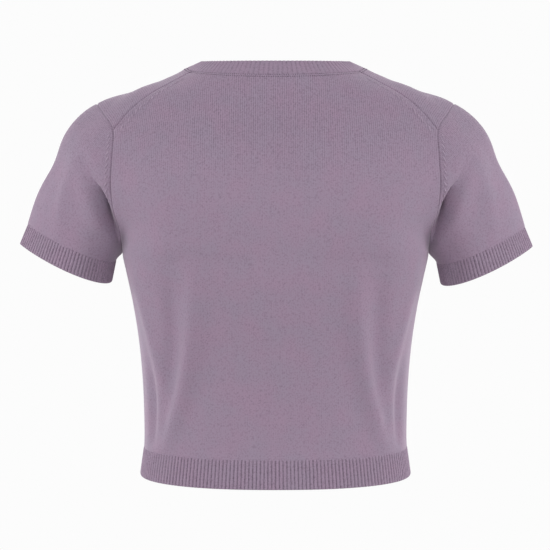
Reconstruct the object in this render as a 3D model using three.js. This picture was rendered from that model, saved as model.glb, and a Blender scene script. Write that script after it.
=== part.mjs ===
// Short-sleeved knitted crop top, filled out as if worn, with nothing inside it.
// Millimetres. +Z is up, the front faces -Y, the back faces +Y, and the wearer's left is +X.
// The origin is in the middle of the neck, level with the top of the shoulders.
import * as THREE from 'three';
import { mergeVertices } from 'three/addons/utils/BufferGeometryUtils.js';

// Driving dimensions
const JERSEY_THICKNESS = 1.4;
const RIB_THICKNESS = { ridge: 2.4, groove: 1.4 };
const SEAM_GAP = 0.3;
const CHEST_Z = -184;
const HEM_SEAM_Z = -379;
const HEM_Z = -407;
const RIBS = { hemPanel: 96, cuff: 88, neck: 112 };

// How finely the cloth is divided
const COLUMNS = { backHalf: 14, frontHalf: 12 };
const ROWS = { trunk: 12, armholeBack: 8, armholeChest: 7, armholeShoulder: 12, sleeve: 10 };
const PLAIN_SIDE_COLUMNS = { hemPanel: 32, cuff: 44, neck: 56 };

// Trunk below the arms: half width, how far the cloth stands behind and in front of the side seams,
// and how square the section is (2 is an ellipse)
const TRUNK_SECTIONS = [
  { z: -184, side: 152.0, back: 98.0, front: 106.0, squareness: 3.0 },
  { z: -205, side: 147.6, back: 97.5, front: 105.5, squareness: 2.8 },
  { z: -235, side: 141.4, back: 94.5, front: 102.0, squareness: 2.6 },
  { z: -273, side: 135.9, back: 89.5, front: 96.0, squareness: 2.45 },
  { z: -313, side: 132.6, back: 85.5, front: 91.5, squareness: 2.35 },
  { z: -353, side: 131.4, back: 83.5, front: 89.0, squareness: 2.3 },
  { z: -379, side: 131.8, back: 84.0, front: 89.5, squareness: 2.3 },
  { z: -407, side: 135.8, back: 88.5, front: 94.0, squareness: 2.3 },
];

// Middle lines of the panels above the chest, from the chest line up to the neckband
const BACK_MIDDLE = [
  { y: 98, z: -184 },
  { y: 98.5, z: -150 },
  { y: 96, z: -112 },
  { y: 91, z: -74 },
  { y: 83.5, z: -40 },
  { y: 77, z: -21 },
  { y: 70, z: -8 },
];
const FRONT_MIDDLE = [
  { y: -106, z: -184 },
  { y: -103.5, z: -152 },
  { y: -95, z: -113 },
  { y: -80, z: -78 },
];

// Heights at the side of a panel and at its middle that lie on one course of the knitting
const BACK_COURSES = [
  { side: -184, middle: -184 },
  { side: -59.6, middle: -50 },
  { side: -5, middle: -8 },
];
const FRONT_COURSES = [
  { side: -184, middle: -184 },
  { side: -74, middle: -78 },
];

// Neck, from the centre front to the centre back on the left half. x, y, z lie on the seam of the neckband,
// and topX, topY, topZ on its free edge. The band column is the heading (0 left, 90 back) and the tilt of the
// cloth there.
const NECK = [
  { x: 0, y: -80, z: -78, band: [-90, 25], topX: 0, topY: -72, topZ: -62.5 },
  { x: 26, y: -77, z: -73, band: [-85, 27], topX: 22.5, topY: -69.5, topZ: -58 },
  { x: 51, y: -66, z: -57, band: [-78, 32], topX: 43.5, topY: -59.5, topZ: -43 },
  { x: 71, y: -47, z: -34, band: [-65, 42], topX: 60, topY: -42, topZ: -21.5 },
  { x: 83, y: -23, z: -12, band: [-35, 56], topX: 70, topY: -20.5, topZ: -2.5 },
  { x: 87.6, y: 0, z: -2.1, band: [0, 64], topX: 73.4, topY: 0, topZ: 4.3 },
  { x: 81, y: 28, z: -5, band: [45, 58], topX: 68, topY: 23, topZ: 5.1, place: 'shoulderSeam' },
  { x: 62, y: 50, z: -6.5, band: [66, 46], topX: 53, topY: 41, topZ: 5.2 },
  { x: 34, y: 64, z: -7.6, band: [82, 40], topX: 29.5, topY: 53, topZ: 5.3 },
  { x: 0, y: 70, z: -8, band: [90, 36], topX: 0, topY: 58, topZ: 5.3 },
];

// Left armhole seam, from the underarm up the back, over the shoulder and down the front. The body cloth
// and the sleeve cloth each face a heading and a tilt there.
const ARMHOLE = [
  { x: 152, y: 0, z: -184, body: [0, -10], sleeve: [180, -20], place: 'underarm' },
  { x: 152.4, y: 34, z: -160, body: [40, -6], sleeve: [128, -28] },
  { x: 157.8, y: 50, z: -136.8, body: [55, -3], sleeve: [104, -8] },
  { x: 159.1, y: 57, z: -112.6, body: [60, 3], sleeve: [88, 2] },
  { x: 157.7, y: 55, z: -85.5, body: [62, 16], sleeve: [72, 16] },
  { x: 157.6, y: 44, z: -59.6, body: [58, 36], sleeve: [58, 36], place: 'shoulderSeam' },
  { x: 168.2, y: 22, z: -46.9, body: [36, 52], sleeve: [36, 52] },
  { x: 177, y: -5, z: -37.2, body: [0, 68], sleeve: [0, 64], place: 'shoulderPoint' },
  { x: 171, y: -30, z: -51, body: [-48, 50], sleeve: [-45, 48] },
  { x: 162, y: -46, z: -74, body: [-62, 26], sleeve: [-66, 26], place: 'frontNeckLevel' },
  { x: 156, y: -55, z: -101, body: [-62, 10], sleeve: [-80, 8] },
  { x: 153, y: -55, z: -128, body: [-58, 0], sleeve: [-96, -4] },
  { x: 151.5, y: -45, z: -153, body: [-45, -5], sleeve: [-114, -16] },
  { x: 151.5, y: -27, z: -173, body: [-24, -8], sleeve: [-145, -30] },
];

// Left shoulder seam, set behind the shoulder, from the neckband to the armhole
const SHOULDER_SEAM = [
  { x: 81, y: 28, z: -5 },
  { x: 104.6, y: 32.5, z: -17.5 },
  { x: 123.4, y: 36.5, z: -28.2 },
  { x: 141, y: 40.5, z: -40.2 },
  { x: 157.6, y: 44, z: -59.6 },
];

// Share of a panel's courses that follow its lower or its upper edge
const EDGE_REACH = 0.5;
// Seams that fold together more sharply than this keep their own wall directions (cosine of the half angle)
const SHARP_SEAM = 0.7;
const SHARPEST_MITRE = 0.5;
// Points of the cloth closer than this are one point
const WELD = 0.01;

// Left cuff: the middle of its seam and of its free edge, half its width across and half its depth. It rises
// outwards and leans forwards by angles.
const CUFF = {
  seam: { x: 202.4, y: -3, z: -176, halfWidth: 46.8, halfDepth: 45 },
  end: { x: 209, y: -4.2, z: -196.9, halfWidth: 48.9, halfDepth: 47 },
  rise: 21.5,
  forwardLean: 3,
};
const SLEEVE_PULL = { shoulder: 1.0, cuff: 0.9 };

// Soft folds of the left half, each along a curve between two points that is drawn towards a third. Depth is
// out of the cloth where positive and into it where negative, and fades towards the ends of the fold.
const BODY_FOLDS = [
  // back waist, ridge and the trough outside it, then the ridge beside the side seam
  { from: [84, 80, -212], over: [84, 77, -290], to: [120, 38, -376], width: 8, depth: 2.6 },
  { from: [104, 70, -215], over: [100, 66, -275], to: [120, 45, -340], width: 13, depth: -3.4 },
  { from: [136, 20, -235], over: [129, 28, -300], to: [124, 34, -365], width: 8, depth: 1.6 },
  // front waist, ridge and trough
  { from: [96, -82, -205], over: [92, -76, -290], to: [122, -38, -374], width: 9, depth: 2.2 },
  { from: [116, -68, -212], over: [108, -66, -280], to: [122, -46, -345], width: 13, depth: -2.8 },
];
const SLEEVE_FOLDS = [
  // back, the deep trough that runs into the underarm and the ridge outside it
  { from: [222, 10, -92], over: [196, 58, -112], to: [158, 30, -176], width: 11, depth: -6.0 },
  { from: [226, 20, -118], over: [196, 52, -140], to: [172, 34, -178], width: 9, depth: 2.4 },
  // outer edge, a dip below the shoulder and the fullness above the cuff
  { from: [214, 50, -110], over: [222, 0, -88], to: [214, -50, -110], width: 17, depth: -4.0 },
  { from: [232, 36, -152], over: [244, 0, -142], to: [232, -42, -152], width: 10, depth: 2.4 },
  // front, a trough into the underarm
  { from: [218, -16, -90], over: [190, -60, -110], to: [158, -28, -174], width: 11, depth: -5.0 },
];
const FOLD_SHARES = [{ side: 1, share: 1.0 }, { side: -1, share: 0.85 }];
const FOLD_FADE = { steps: 24, shortest: 0.04, roundness: 0.7 };

const LILAC_JERSEY = new THREE.MeshStandardMaterial({ color: 0x96809a, roughness: 0.95, metalness: 0 });
const LILAC_RIB = new THREE.MeshStandardMaterial({ color: 0x8f7893, roughness: 0.95, metalness: 0 });

const radians = THREE.MathUtils.degToRad;

// A smooth curve through the rows of a table, as a function of a distance along the knots that gives every
// column asked for
function smoothTable(rows, columns, knots, period = 0) {
  const count = rows.length;
  const knotAt = (i) => {
    if (!period) return knots[THREE.MathUtils.clamp(i, 0, count - 1)];
    return knots[((i % count) + count) % count] + period * Math.floor(i / count);
  };
  const valueAt = (i, column) => {
    if (!period) return rows[THREE.MathUtils.clamp(i, 0, count - 1)][column];
    return rows[((i % count) + count) % count][column];
  };
  const slopeAt = (i, column) => {
    const span = knotAt(i + 1) - knotAt(i - 1);
    return (valueAt(i + 1, column) - valueAt(i - 1, column)) / span;
  };
  return (distance) => {
    let i = 0;
    const last = period ? count - 1 : count - 2;
    while (i < last && distance > knotAt(i + 1)) i += 1;
    const span = knotAt(i + 1) - knotAt(i);
    const t = (distance - knotAt(i)) / span;
    const made = {};
    for (const column of columns) {
      made[column] = hermite(valueAt(i, column), slopeAt(i, column) * span,
        valueAt(i + 1, column), slopeAt(i + 1, column) * span, t);
    }
    return made;
  };
}

function hermite(start, startSlope, end, endSlope, t) {
  const t2 = t * t;
  const t3 = t2 * t;
  return start * (2 * t3 - 3 * t2 + 1) + startSlope * (t3 - 2 * t2 + t)
    + end * (3 * t2 - 2 * t3) + endSlope * (t3 - t2);
}

function hermiteVector(start, startPull, end, endPull, t) {
  return new THREE.Vector3(
    hermite(start.x, startPull.x, end.x, endPull.x, t),
    hermite(start.y, startPull.y, end.y, endPull.y, t),
    hermite(start.z, startPull.z, end.z, endPull.z, t),
  );
}

// The direction that cloth faces, from its heading (0 left, 90 back) and its tilt above the horizon
function facing([heading, tilt]) {
  const level = Math.cos(radians(tilt));
  const turn = radians(heading);
  return new THREE.Vector3(level * Math.cos(turn), level * Math.sin(turn), Math.sin(radians(tilt)));
}

function chordKnots(rows) {
  const knots = [0];
  for (let i = 1; i < rows.length; i += 1) {
    const step = Math.hypot(rows[i].x - rows[i - 1].x, rows[i].y - rows[i - 1].y, rows[i].z - rows[i - 1].z);
    knots.push(knots[i - 1] + step);
  }
  return knots;
}

// Trunk surface: turn is 0 at the centre back, 90 at the left side seam and 180 at the centre front
const trunkColumns = ['side', 'back', 'front', 'squareness'];
const trunkAt = smoothTable(TRUNK_SECTIONS, trunkColumns, TRUNK_SECTIONS.map((row) => -row.z));

function trunkPoint(z, turn) {
  const section = trunkAt(-z);
  const across = Math.sin(radians(turn));
  const along = Math.cos(radians(turn));
  const power = 2 / section.squareness;
  const depth = along >= 0 ? section.back : section.front;
  return new THREE.Vector3(
    section.side * Math.sign(across) * Math.abs(across) ** power,
    depth * Math.sign(along) * Math.abs(along) ** power,
    z,
  );
}

function trunkNormal(z, turn) {
  const step = 0.5;
  const around = trunkPoint(z, turn + step).sub(trunkPoint(z, turn - step));
  const up = trunkPoint(Math.min(z + 1, TRUNK_SECTIONS[0].z), turn).sub(trunkPoint(z - 1, turn));
  return up.cross(around).normalize();
}

// A closed seam as a function of the distance round it, with its points and the ways that cloth faces there
function ringOf(rows, facings) {
  const knots = chordKnots([...rows, rows[0]]);
  const period = knots.pop();
  const full = rows.map((row) => {
    const made = { ...row };
    for (const name of facings) {
      const vector = facing(row[name]);
      made[`${name}X`] = vector.x;
      made[`${name}Y`] = vector.y;
      made[`${name}Z`] = vector.z;
    }
    return made;
  });
  const columns = ['x', 'y', 'z', ...facings.flatMap((name) => [`${name}X`, `${name}Y`, `${name}Z`])];
  return { knots, period, at: smoothTable(full, columns, knots, period) };
}

function pointOf(row) {
  return new THREE.Vector3(row.x, row.y, row.z);
}

function facingOf(row, name) {
  return new THREE.Vector3(row[`${name}X`], row[`${name}Y`], row[`${name}Z`]).normalize();
}

function between(from, to, count) {
  return Array.from({ length: count + 1 }, (_, i) => from + ((to - from) * i) / count);
}

const armholeRing = ringOf(ARMHOLE, ['body', 'sleeve']);
const armholeKnot = (place) => armholeRing.knots[ARMHOLE.findIndex((row) => row.place === place)];
const ARMHOLE_BACK = between(0, armholeKnot('shoulderSeam'), ROWS.armholeBack);
const ARMHOLE_FRONT = [
  ...between(armholeRing.period, armholeKnot('frontNeckLevel'), ROWS.armholeChest),
  ...between(armholeKnot('frontNeckLevel'), armholeKnot('shoulderSeam'), ROWS.armholeShoulder).slice(1),
];

// The whole neck ring: the left half of the table, then its mirror image back to the centre front
const neckRight = NECK.slice(1, -1).reverse().map((row) => {
  return { ...row, x: -row.x, topX: -row.topX, band: [180 - row.band[0], row.band[1]] };
});
const neckRows = [...NECK, ...neckRight];
const neckRing = ringOf(neckRows, ['band']);
const neckTopAt = smoothTable(neckRows, ['topX', 'topY', 'topZ'], neckRing.knots, neckRing.period);
const neckSeamKnot = neckRing.knots[NECK.findIndex((row) => row.place === 'shoulderSeam')];
const NECK_FRONT_KNOTS = between(0, neckSeamKnot, ROWS.armholeShoulder);
const NECK_BACK_KNOTS = between(neckSeamKnot, neckRing.period / 2, COLUMNS.backHalf);

const shoulderSeamKnots = chordKnots(SHOULDER_SEAM);
const shoulderSeamAt = smoothTable(SHOULDER_SEAM, ['x', 'y', 'z'], shoulderSeamKnots);
// Points along the shoulder seam from the armhole to the neckband
const shoulderSeamPoints = between(shoulderSeamKnots.at(-1), 0, COLUMNS.frontHalf).map((knot) => {
  return pointOf(shoulderSeamAt(knot));
});

const mirrored = (v) => new THREE.Vector3(-v.x, v.y, v.z);

// A place on the edge of a panel: its point, and the way that the cloth faces there
const bodyEdge = (knot) => {
  const row = armholeRing.at(knot);
  return { point: pointOf(row), normal: facingOf(row, 'body') };
};
const neckEdge = (knot) => {
  const row = neckRing.at(knot);
  return { point: pointOf(row), normal: facingOf(row, 'band') };
};

// A place on the middle line of a panel, on the same course as a height at its side
function middleEdge(middle, courses, sideHeight) {
  const z = smoothTable(courses, ['middle'], courses.map((row) => row.side))(sideHeight).middle;
  const { y } = smoothTable(middle, ['y'], middle.map((row) => row.z))(z);
  return { point: new THREE.Vector3(0, y, z), normal: new THREE.Vector3(0, Math.sign(y), 0) };
}

// The run of the cloth from one point to another, square to the way that it faces
function pullAlong(start, end, normal, strength) {
  const chord = end.clone().sub(start);
  const length = chord.length();
  return chord.addScaledVector(normal, -chord.dot(normal)).normalize().multiplyScalar(length * strength);
}

// A course of knitting from the side of a panel to its middle or to the neck
function courseLine(side, end, columns) {
  const startPull = pullAlong(side.point, end.point, side.normal, 1);
  const endPull = pullAlong(side.point, end.point, end.normal, 1);
  if (end.point.x === 0) endPull.set(-endPull.length(), 0, 0);
  return between(0, 1, columns).map((t) => hermiteVector(side.point, startPull, end.point, endPull, t));
}

// Moves the courses near a panel's lower and upper edges so that these edges follow the lines given for them
function fitEdges(lines, lower, upper) {
  const last = lines.length - 1;
  const lowerShift = lower.map((point, i) => point.clone().sub(lines[0][i]));
  const upperShift = upper.map((point, i) => point.clone().sub(lines[last][i]));
  const fade = (share) => (share >= 1 ? 0 : (1 - share) ** 2 * (1 + 2 * share));
  lines.forEach((line, j) => {
    line.forEach((point, i) => {
      point.addScaledVector(lowerShift[i], fade(j / last / EDGE_REACH));
      point.addScaledVector(upperShift[i], fade((last - j) / last / EDGE_REACH));
    });
  });
  return lines;
}

// Half of the back above the chest: courses from the armhole and the shoulder seam to the middle
function backYoke(chestLine) {
  const armhole = ARMHOLE_BACK.map(bodyEdge);
  const corner = armhole.at(-1).normal;
  const neck = neckEdge(neckSeamKnot).normal;
  const shoulder = shoulderSeamPoints.slice(1).map((point, i) => {
    const share = (i + 1) / COLUMNS.frontHalf;
    return { point, normal: corner.clone().lerp(neck, share).normalize() };
  });
  const lines = [...armhole, ...shoulder].map((side) => {
    return courseLine(side, middleEdge(BACK_MIDDLE, BACK_COURSES, side.point.z), COLUMNS.backHalf);
  });
  return fitEdges(lines, chestLine, NECK_BACK_KNOTS.map((knot) => neckEdge(knot).point));
}

// Half of the front above the chest: courses from the armhole to the middle, then over the shoulder to the
// neck
function frontYoke(chestLine) {
  const lines = ARMHOLE_FRONT.map((knot, row) => {
    const side = bodyEdge(knot);
    const above = row - ROWS.armholeChest;
    if (above > 0) return courseLine(side, neckEdge(NECK_FRONT_KNOTS[above]), COLUMNS.frontHalf);
    return courseLine(side, middleEdge(FRONT_MIDDLE, FRONT_COURSES, side.point.z), COLUMNS.frontHalf);
  });
  return fitEdges(lines, chestLine, shoulderSeamPoints);
}

// A sheet is a list of grids, and a grid is a list of columns of points from the bottom up
function panelSheet(yoke, middleTurn, half) {
  const turns = between(90, middleTurn, half);
  const heights = between(HEM_SEAM_Z, CHEST_Z, ROWS.trunk);
  const lines = yoke(turns.map((turn) => trunkPoint(CHEST_Z, turn)));
  const yokeLeft = turns.map((_, i) => lines.map((line) => line[i]));
  const trunkLeft = turns.map((turn) => heights.map((z) => trunkPoint(z, turn)));
  const mirrorGrid = (grid) => [...grid].reverse().map((line) => line.map(mirrored));
  return [yokeLeft, mirrorGrid(yokeLeft), trunkLeft, mirrorGrid(trunkLeft)];
}

// A point on one of the cuff's rings, or outside it by some extra. The angle is 0 outwards and 90 backwards.
function cuffRing(ring, angle, extra = 0) {
  const rise = radians(CUFF.rise);
  const lean = radians(CUFF.forwardLean);
  const across = new THREE.Vector3(Math.cos(rise), 0, Math.sin(rise));
  const deep = new THREE.Vector3(0, Math.cos(lean), -Math.sin(lean));
  return pointOf(ring)
    .addScaledVector(across, (ring.halfWidth + extra) * Math.cos(radians(angle)))
    .addScaledVector(deep, (ring.halfDepth + extra) * Math.sin(radians(angle)));
}

const cuffAxis = pointOf(CUFF.end).sub(pointOf(CUFF.seam)).normalize();

// Angle round the cuff of a knot on the armhole: 180 at the underarm, 90 behind, 0 at the shoulder point
function cuffAngle(knot) {
  const shoulder = armholeKnot('shoulderPoint');
  if (knot <= shoulder) return 180 - (180 * knot) / shoulder;
  return -(180 * (knot - shoulder)) / (armholeRing.period - shoulder);
}

// The left sleeve: columns from the armhole to the cuff, starting at the underarm
function sleeveSheet() {
  const knots = [...ARMHOLE_BACK, ...[...ARMHOLE_FRONT].reverse().slice(1)];
  const columns = knots.map((knot) => {
    const row = armholeRing.at(knot);
    const start = pointOf(row);
    const end = cuffRing(CUFF.seam, cuffAngle(knot));
    const startPull = pullAlong(start, end, facingOf(row, 'sleeve'), SLEEVE_PULL.shoulder);
    const endPull = cuffAxis.clone().multiplyScalar(start.distanceTo(end) * SLEEVE_PULL.cuff);
    return between(0, 1, ROWS.sleeve).map((t) => hermiteVector(start, startPull, end, endPull, t));
  });
  return [columns];
}

// A welded triangle sheet. The columns of its grids run from left to right, seen from outside, or the other
// way where it is flipped.
class Cloth {
  constructor(grids, flip = false) {
    this.points = [];
    this.faces = [];
    this.index = new Map();
    for (const grid of grids) {
      const ids = grid.map((line) => line.map((point) => this.add(point)));
      for (let i = 0; i + 1 < ids.length; i += 1) {
        for (let j = 0; j + 1 < ids[i].length; j += 1) {
          const quad = [ids[i][j], ids[i + 1][j], ids[i + 1][j + 1], ids[i][j + 1]];
          if (flip) quad.reverse();
          const corners = quad.map((id) => this.points[id]);
          const turned = corners[1].distanceTo(corners[3]) < corners[0].distanceTo(corners[2]);
          const [a, b, c, d] = turned ? [...quad.slice(1), quad[0]] : quad;
          this.face(a, b, c);
          this.face(a, c, d);
        }
      }
    }
  }

  static key(point) {
    return [point.x, point.y, point.z].map((value) => Math.round(value / WELD)).join(' ');
  }

  add(point) {
    const key = Cloth.key(point);
    if (!this.index.has(key)) {
      this.index.set(key, this.points.length);
      this.points.push(point.clone());
    }
    return this.index.get(key);
  }

  face(a, b, c) {
    if (a !== b && b !== c && c !== a) this.faces.push([a, b, c]);
  }

  faceNormal([a, b, c]) {
    const ab = this.points[b].clone().sub(this.points[a]);
    return ab.cross(this.points[c].clone().sub(this.points[a]));
  }

  normalAt(point) {
    return this.normals[this.index.get(Cloth.key(point))];
  }

  // Edges with cloth on one side only, in the order that their face runs
  edges() {
    const seen = new Map();
    for (const [a, b, c] of this.faces) {
      for (const [from, to] of [[a, b], [b, c], [c, a]]) {
        const pair = from < to ? `${from} ${to}` : `${to} ${from}`;
        if (seen.has(pair)) seen.set(pair, null);
        else seen.set(pair, [from, to]);
      }
    }
    return [...seen.values()].filter(Boolean);
  }
}

// Outward directions. Sheets that meet at a point share the direction midway between theirs, and a longer
// way through the wall, so that the walls meet squarely. Where they fold together sharply, each has its own.
function shareNormals(cloths) {
  const meeting = new Map();
  for (const cloth of cloths) {
    const sums = cloth.points.map(() => new THREE.Vector3());
    for (const face of cloth.faces) {
      const normal = cloth.faceNormal(face);
      for (const id of face) sums[id].add(normal);
    }
    cloth.normals = sums.map((sum) => sum.normalize());
    cloth.points.forEach((point, id) => {
      const key = Cloth.key(point);
      meeting.set(key, [...(meeting.get(key) ?? []), cloth.normals[id]]);
    });
  }
  for (const cloth of cloths) {
    cloth.reach = cloth.points.map(() => 1);
    cloth.normals = cloth.points.map((point, id) => {
      const all = meeting.get(Cloth.key(point));
      const middle = all.reduce((sum, normal) => sum.add(normal), new THREE.Vector3()).normalize();
      const agreement = Math.min(...all.map((normal) => normal.dot(middle)));
      if (agreement < SHARP_SEAM) return cloth.normals[id];
      cloth.reach[id] = 1 / agreement;
      return middle;
    });
  }
}

function foldLine(fold, side) {
  const places = [fold.from, fold.over, fold.to].map(([x, y, z]) => new THREE.Vector3(x * side, y, z));
  return new THREE.QuadraticBezierCurve3(...places).getPoints(FOLD_FADE.steps);
}

// How far a fold moves a point of the cloth
function foldHeight(point, fold, line) {
  const distances = line.map((place) => place.distanceTo(point));
  const distance = Math.min(...distances);
  const along = distances.indexOf(distance) / FOLD_FADE.steps;
  const inside = THREE.MathUtils.clamp(along, FOLD_FADE.shortest, 1 - FOLD_FADE.shortest);
  const fade = Math.sin(Math.PI * inside) ** FOLD_FADE.roundness;
  return fold.depth * fade * Math.exp(-0.5 * (distance / fold.width) ** 2);
}

// Folds a sheet everywhere but along its edges
function foldCloth(cloth, folds) {
  const fixed = new Set(cloth.edges().flat());
  for (const fold of folds) {
    for (const { side, share } of FOLD_SHARES) {
      const line = foldLine(fold, side);
      cloth.points.forEach((point, id) => {
        if (point.x * side <= 0 || fixed.has(id)) return;
        point.addScaledVector(cloth.normals[id], share * foldHeight(point, fold, line));
      });
    }
  }
}

// Draws each open edge back by half the seam gap, within the cloth
function drawBack(cloth) {
  const inward = new Map();
  for (const [a, b] of cloth.edges()) {
    const along = cloth.points[b].clone().sub(cloth.points[a]);
    for (const id of [a, b]) {
      const side = cloth.normals[id].clone().cross(along).normalize();
      inward.set(id, [...(inward.get(id) ?? []), side]);
    }
  }
  for (const [id, [first, second]] of inward) {
    const mitre = Math.max(SHARPEST_MITRE, 1 + first.dot(second));
    cloth.points[id].addScaledVector(first.clone().add(second), SEAM_GAP / 2 / mitre);
  }
}

// A closed wall: the sheet, the same sheet moved inwards, and a strip along each open edge
function wall(cloth, thickness) {
  const count = cloth.points.length;
  const inner = cloth.points.map((point, id) => {
    return point.clone().addScaledVector(cloth.normals[id], -thickness * cloth.reach[id]);
  });
  const triangles = [...cloth.faces, ...cloth.faces.map(([a, b, c]) => [a + count, c + count, b + count])];
  for (const [a, b] of cloth.edges()) {
    const rising = cloth.points[a].z < cloth.points[b].z;
    if (rising) triangles.push([b, a, a + count], [b, a + count, b + count]);
    else triangles.push([b, a, b + count], [a, a + count, b + count]);
  }
  return solid([...cloth.points, ...inner], triangles);
}

function solid(points, triangles) {
  const geometry = new THREE.BufferGeometry();
  const places = points.flatMap((p) => [p.x, p.y, p.z]);
  geometry.setAttribute('position', new THREE.Float32BufferAttribute(places, 3));
  geometry.setIndex(triangles.flat());
  const merged = mergeVertices(geometry, WELD / 100);
  merged.computeVertexNormals();
  return merged;
}

function edgeLength(edge, steps = 100) {
  let length = 0;
  for (let i = 0; i < steps; i += 1) {
    length += edge(i / steps).point.distanceTo(edge((i + 1) / steps).point);
  }
  return length;
}

// A ribbed band between a seam and a free edge, each a function of a share from 0 to 1 that gives a point and
// the way that the cloth faces. The ribs are raised on the outside, and the inside is plain.
function ribBand({ seam, free, ribs, plainColumns, closed }) {
  const columns = ribs * 2;
  const inset = closed ? 0 : SEAM_GAP / 2 / edgeLength(free);

  // One line of points along an edge, drawn back by half the seam gap and moved out of the cloth by a height
  const layer = (edge, other, count, heightOf) => between(inset, 1 - inset, count).map((share, i) => {
    const { point, normal } = edge(share);
    const towards = other(share).point.clone().sub(point).normalize();
    return point.clone().addScaledVector(towards, SEAM_GAP / 2).addScaledVector(normal, heightOf(i));
  }).slice(0, closed ? count : count + 1);
  const ribbed = (i) => (i % 2 === 1 ? RIB_THICKNESS.ridge - RIB_THICKNESS.groove : 0);
  const plain = () => -RIB_THICKNESS.groove;
  const layers = {
    outerSeam: layer(seam, free, columns, ribbed),
    outerFree: layer(free, seam, columns, ribbed),
    innerSeam: layer(seam, free, plainColumns, plain),
    innerFree: layer(free, seam, plainColumns, plain),
  };

  const starts = {};
  const points = [];
  for (const [name, line] of Object.entries(layers)) {
    starts[name] = points.length;
    points.push(...line);
  }
  const id = (name, i) => starts[name] + (i % layers[name].length);
  const triangles = [];
  const quad = (a, b, c, d) => triangles.push([a, b, c], [a, c, d]);
  for (let i = 0; i < columns; i += 1) {
    quad(id('outerSeam', i), id('outerSeam', i + 1), id('outerFree', i + 1), id('outerFree', i));
  }
  for (let i = 0; i < plainColumns; i += 1) {
    quad(id('innerSeam', i), id('innerFree', i), id('innerFree', i + 1), id('innerSeam', i + 1));
  }

  // Joins the many outer points along an edge to the fewer inner ones
  const cap = (outer, inner, flip) => {
    const push = (a, b, c) => triangles.push(flip ? [a, c, b] : [a, b, c]);
    let i = 0;
    for (let k = 0; k < plainColumns; k += 1) {
      const middle = ((k + 0.5) * columns) / plainColumns;
      for (; i < middle; i += 1) push(id(outer, i), id(inner, k), id(outer, i + 1));
      push(id(outer, i), id(inner, k), id(inner, k + 1));
    }
    for (; i < columns; i += 1) push(id(outer, i), id(inner, plainColumns), id(outer, i + 1));
  };
  cap('outerSeam', 'innerSeam', false);
  cap('outerFree', 'innerFree', true);
  if (!closed) {
    const cornersAt = (outer, inner) => [
      id('outerSeam', outer), id('outerFree', outer), id('innerFree', inner), id('innerSeam', inner),
    ];
    quad(...cornersAt(0, 0));
    quad(...cornersAt(columns, plainColumns).reverse());
  }
  return solid(points, triangles);
}

// Turns at equal steps round the hem, so that its ribs are evenly spaced
function evenTurns(z, from, to, steps = 400) {
  const turns = between(from, to, steps);
  const lengths = [0];
  for (let i = 1; i <= steps; i += 1) {
    lengths.push(lengths[i - 1] + trunkPoint(z, turns[i]).distanceTo(trunkPoint(z, turns[i - 1])));
  }
  return (share) => {
    const wanted = share * lengths[steps];
    let i = 1;
    while (i < steps && lengths[i] < wanted) i += 1;
    const t = (wanted - lengths[i - 1]) / (lengths[i] - lengths[i - 1]);
    return THREE.MathUtils.lerp(turns[i - 1], turns[i], t);
  };
}

function hemBand(fromTurn, toTurn) {
  const turnAt = evenTurns(HEM_Z, fromTurn, toTurn);
  const level = (z) => (share) => {
    const turn = turnAt(share);
    return { point: trunkPoint(z, turn), normal: trunkNormal(z, turn).setZ(0).normalize() };
  };
  return ribBand({
    seam: level(HEM_SEAM_Z), free: level(HEM_Z), ribs: RIBS.hemPanel,
    plainColumns: PLAIN_SIDE_COLUMNS.hemPanel, closed: false,
  });
}

function cuffBand(side) {
  const edge = (ring) => (share) => {
    const angle = -360 * share * side;
    const point = cuffRing(ring, angle);
    const normal = cuffRing(ring, angle, 1).sub(point).normalize();
    point.x *= side;
    normal.x *= side;
    return { point, normal };
  };
  return ribBand({
    seam: edge(CUFF.seam), free: edge(CUFF.end), ribs: RIBS.cuff,
    plainColumns: PLAIN_SIDE_COLUMNS.cuff, closed: true,
  });
}

// The neckband's seam follows the edges of the panels from corner to corner
function neckBand(frontCloth, backCloth) {
  const half = [
    ...NECK_FRONT_KNOTS.slice(0, -1).map((knot) => ({ knot, cloth: frontCloth })),
    ...NECK_BACK_KNOTS.map((knot) => ({ knot, cloth: backCloth })),
  ];
  const corners = half.map(({ knot, cloth }) => {
    const { point } = neckEdge(knot);
    return { knot, point, normal: cloth.normalAt(point).clone() };
  });
  const opposite = corners.slice(0, -1).reverse().map(({ knot, point, normal }) => {
    return { knot: neckRing.period - knot, point: mirrored(point), normal: mirrored(normal) };
  });
  const ring = [...corners, ...opposite];
  const seam = (share) => {
    const knot = neckRing.period * (share % 1);
    let i = 0;
    while (i < ring.length - 2 && knot > ring[i + 1].knot) i += 1;
    const t = (knot - ring[i].knot) / (ring[i + 1].knot - ring[i].knot);
    return {
      point: ring[i].point.clone().lerp(ring[i + 1].point, t),
      normal: ring[i].normal.clone().lerp(ring[i + 1].normal, t).normalize(),
    };
  };
  const free = (share) => {
    const row = neckTopAt(neckRing.period * (share % 1));
    const point = new THREE.Vector3(row.topX, row.topY, row.topZ);
    const { point: below, normal } = seam(share);
    const across = point.clone().sub(below).normalize();
    return { point, normal: normal.addScaledVector(across, -normal.dot(across)).normalize() };
  };
  return ribBand({ seam, free, ribs: RIBS.neck, plainColumns: PLAIN_SIDE_COLUMNS.neck, closed: true });
}

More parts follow.
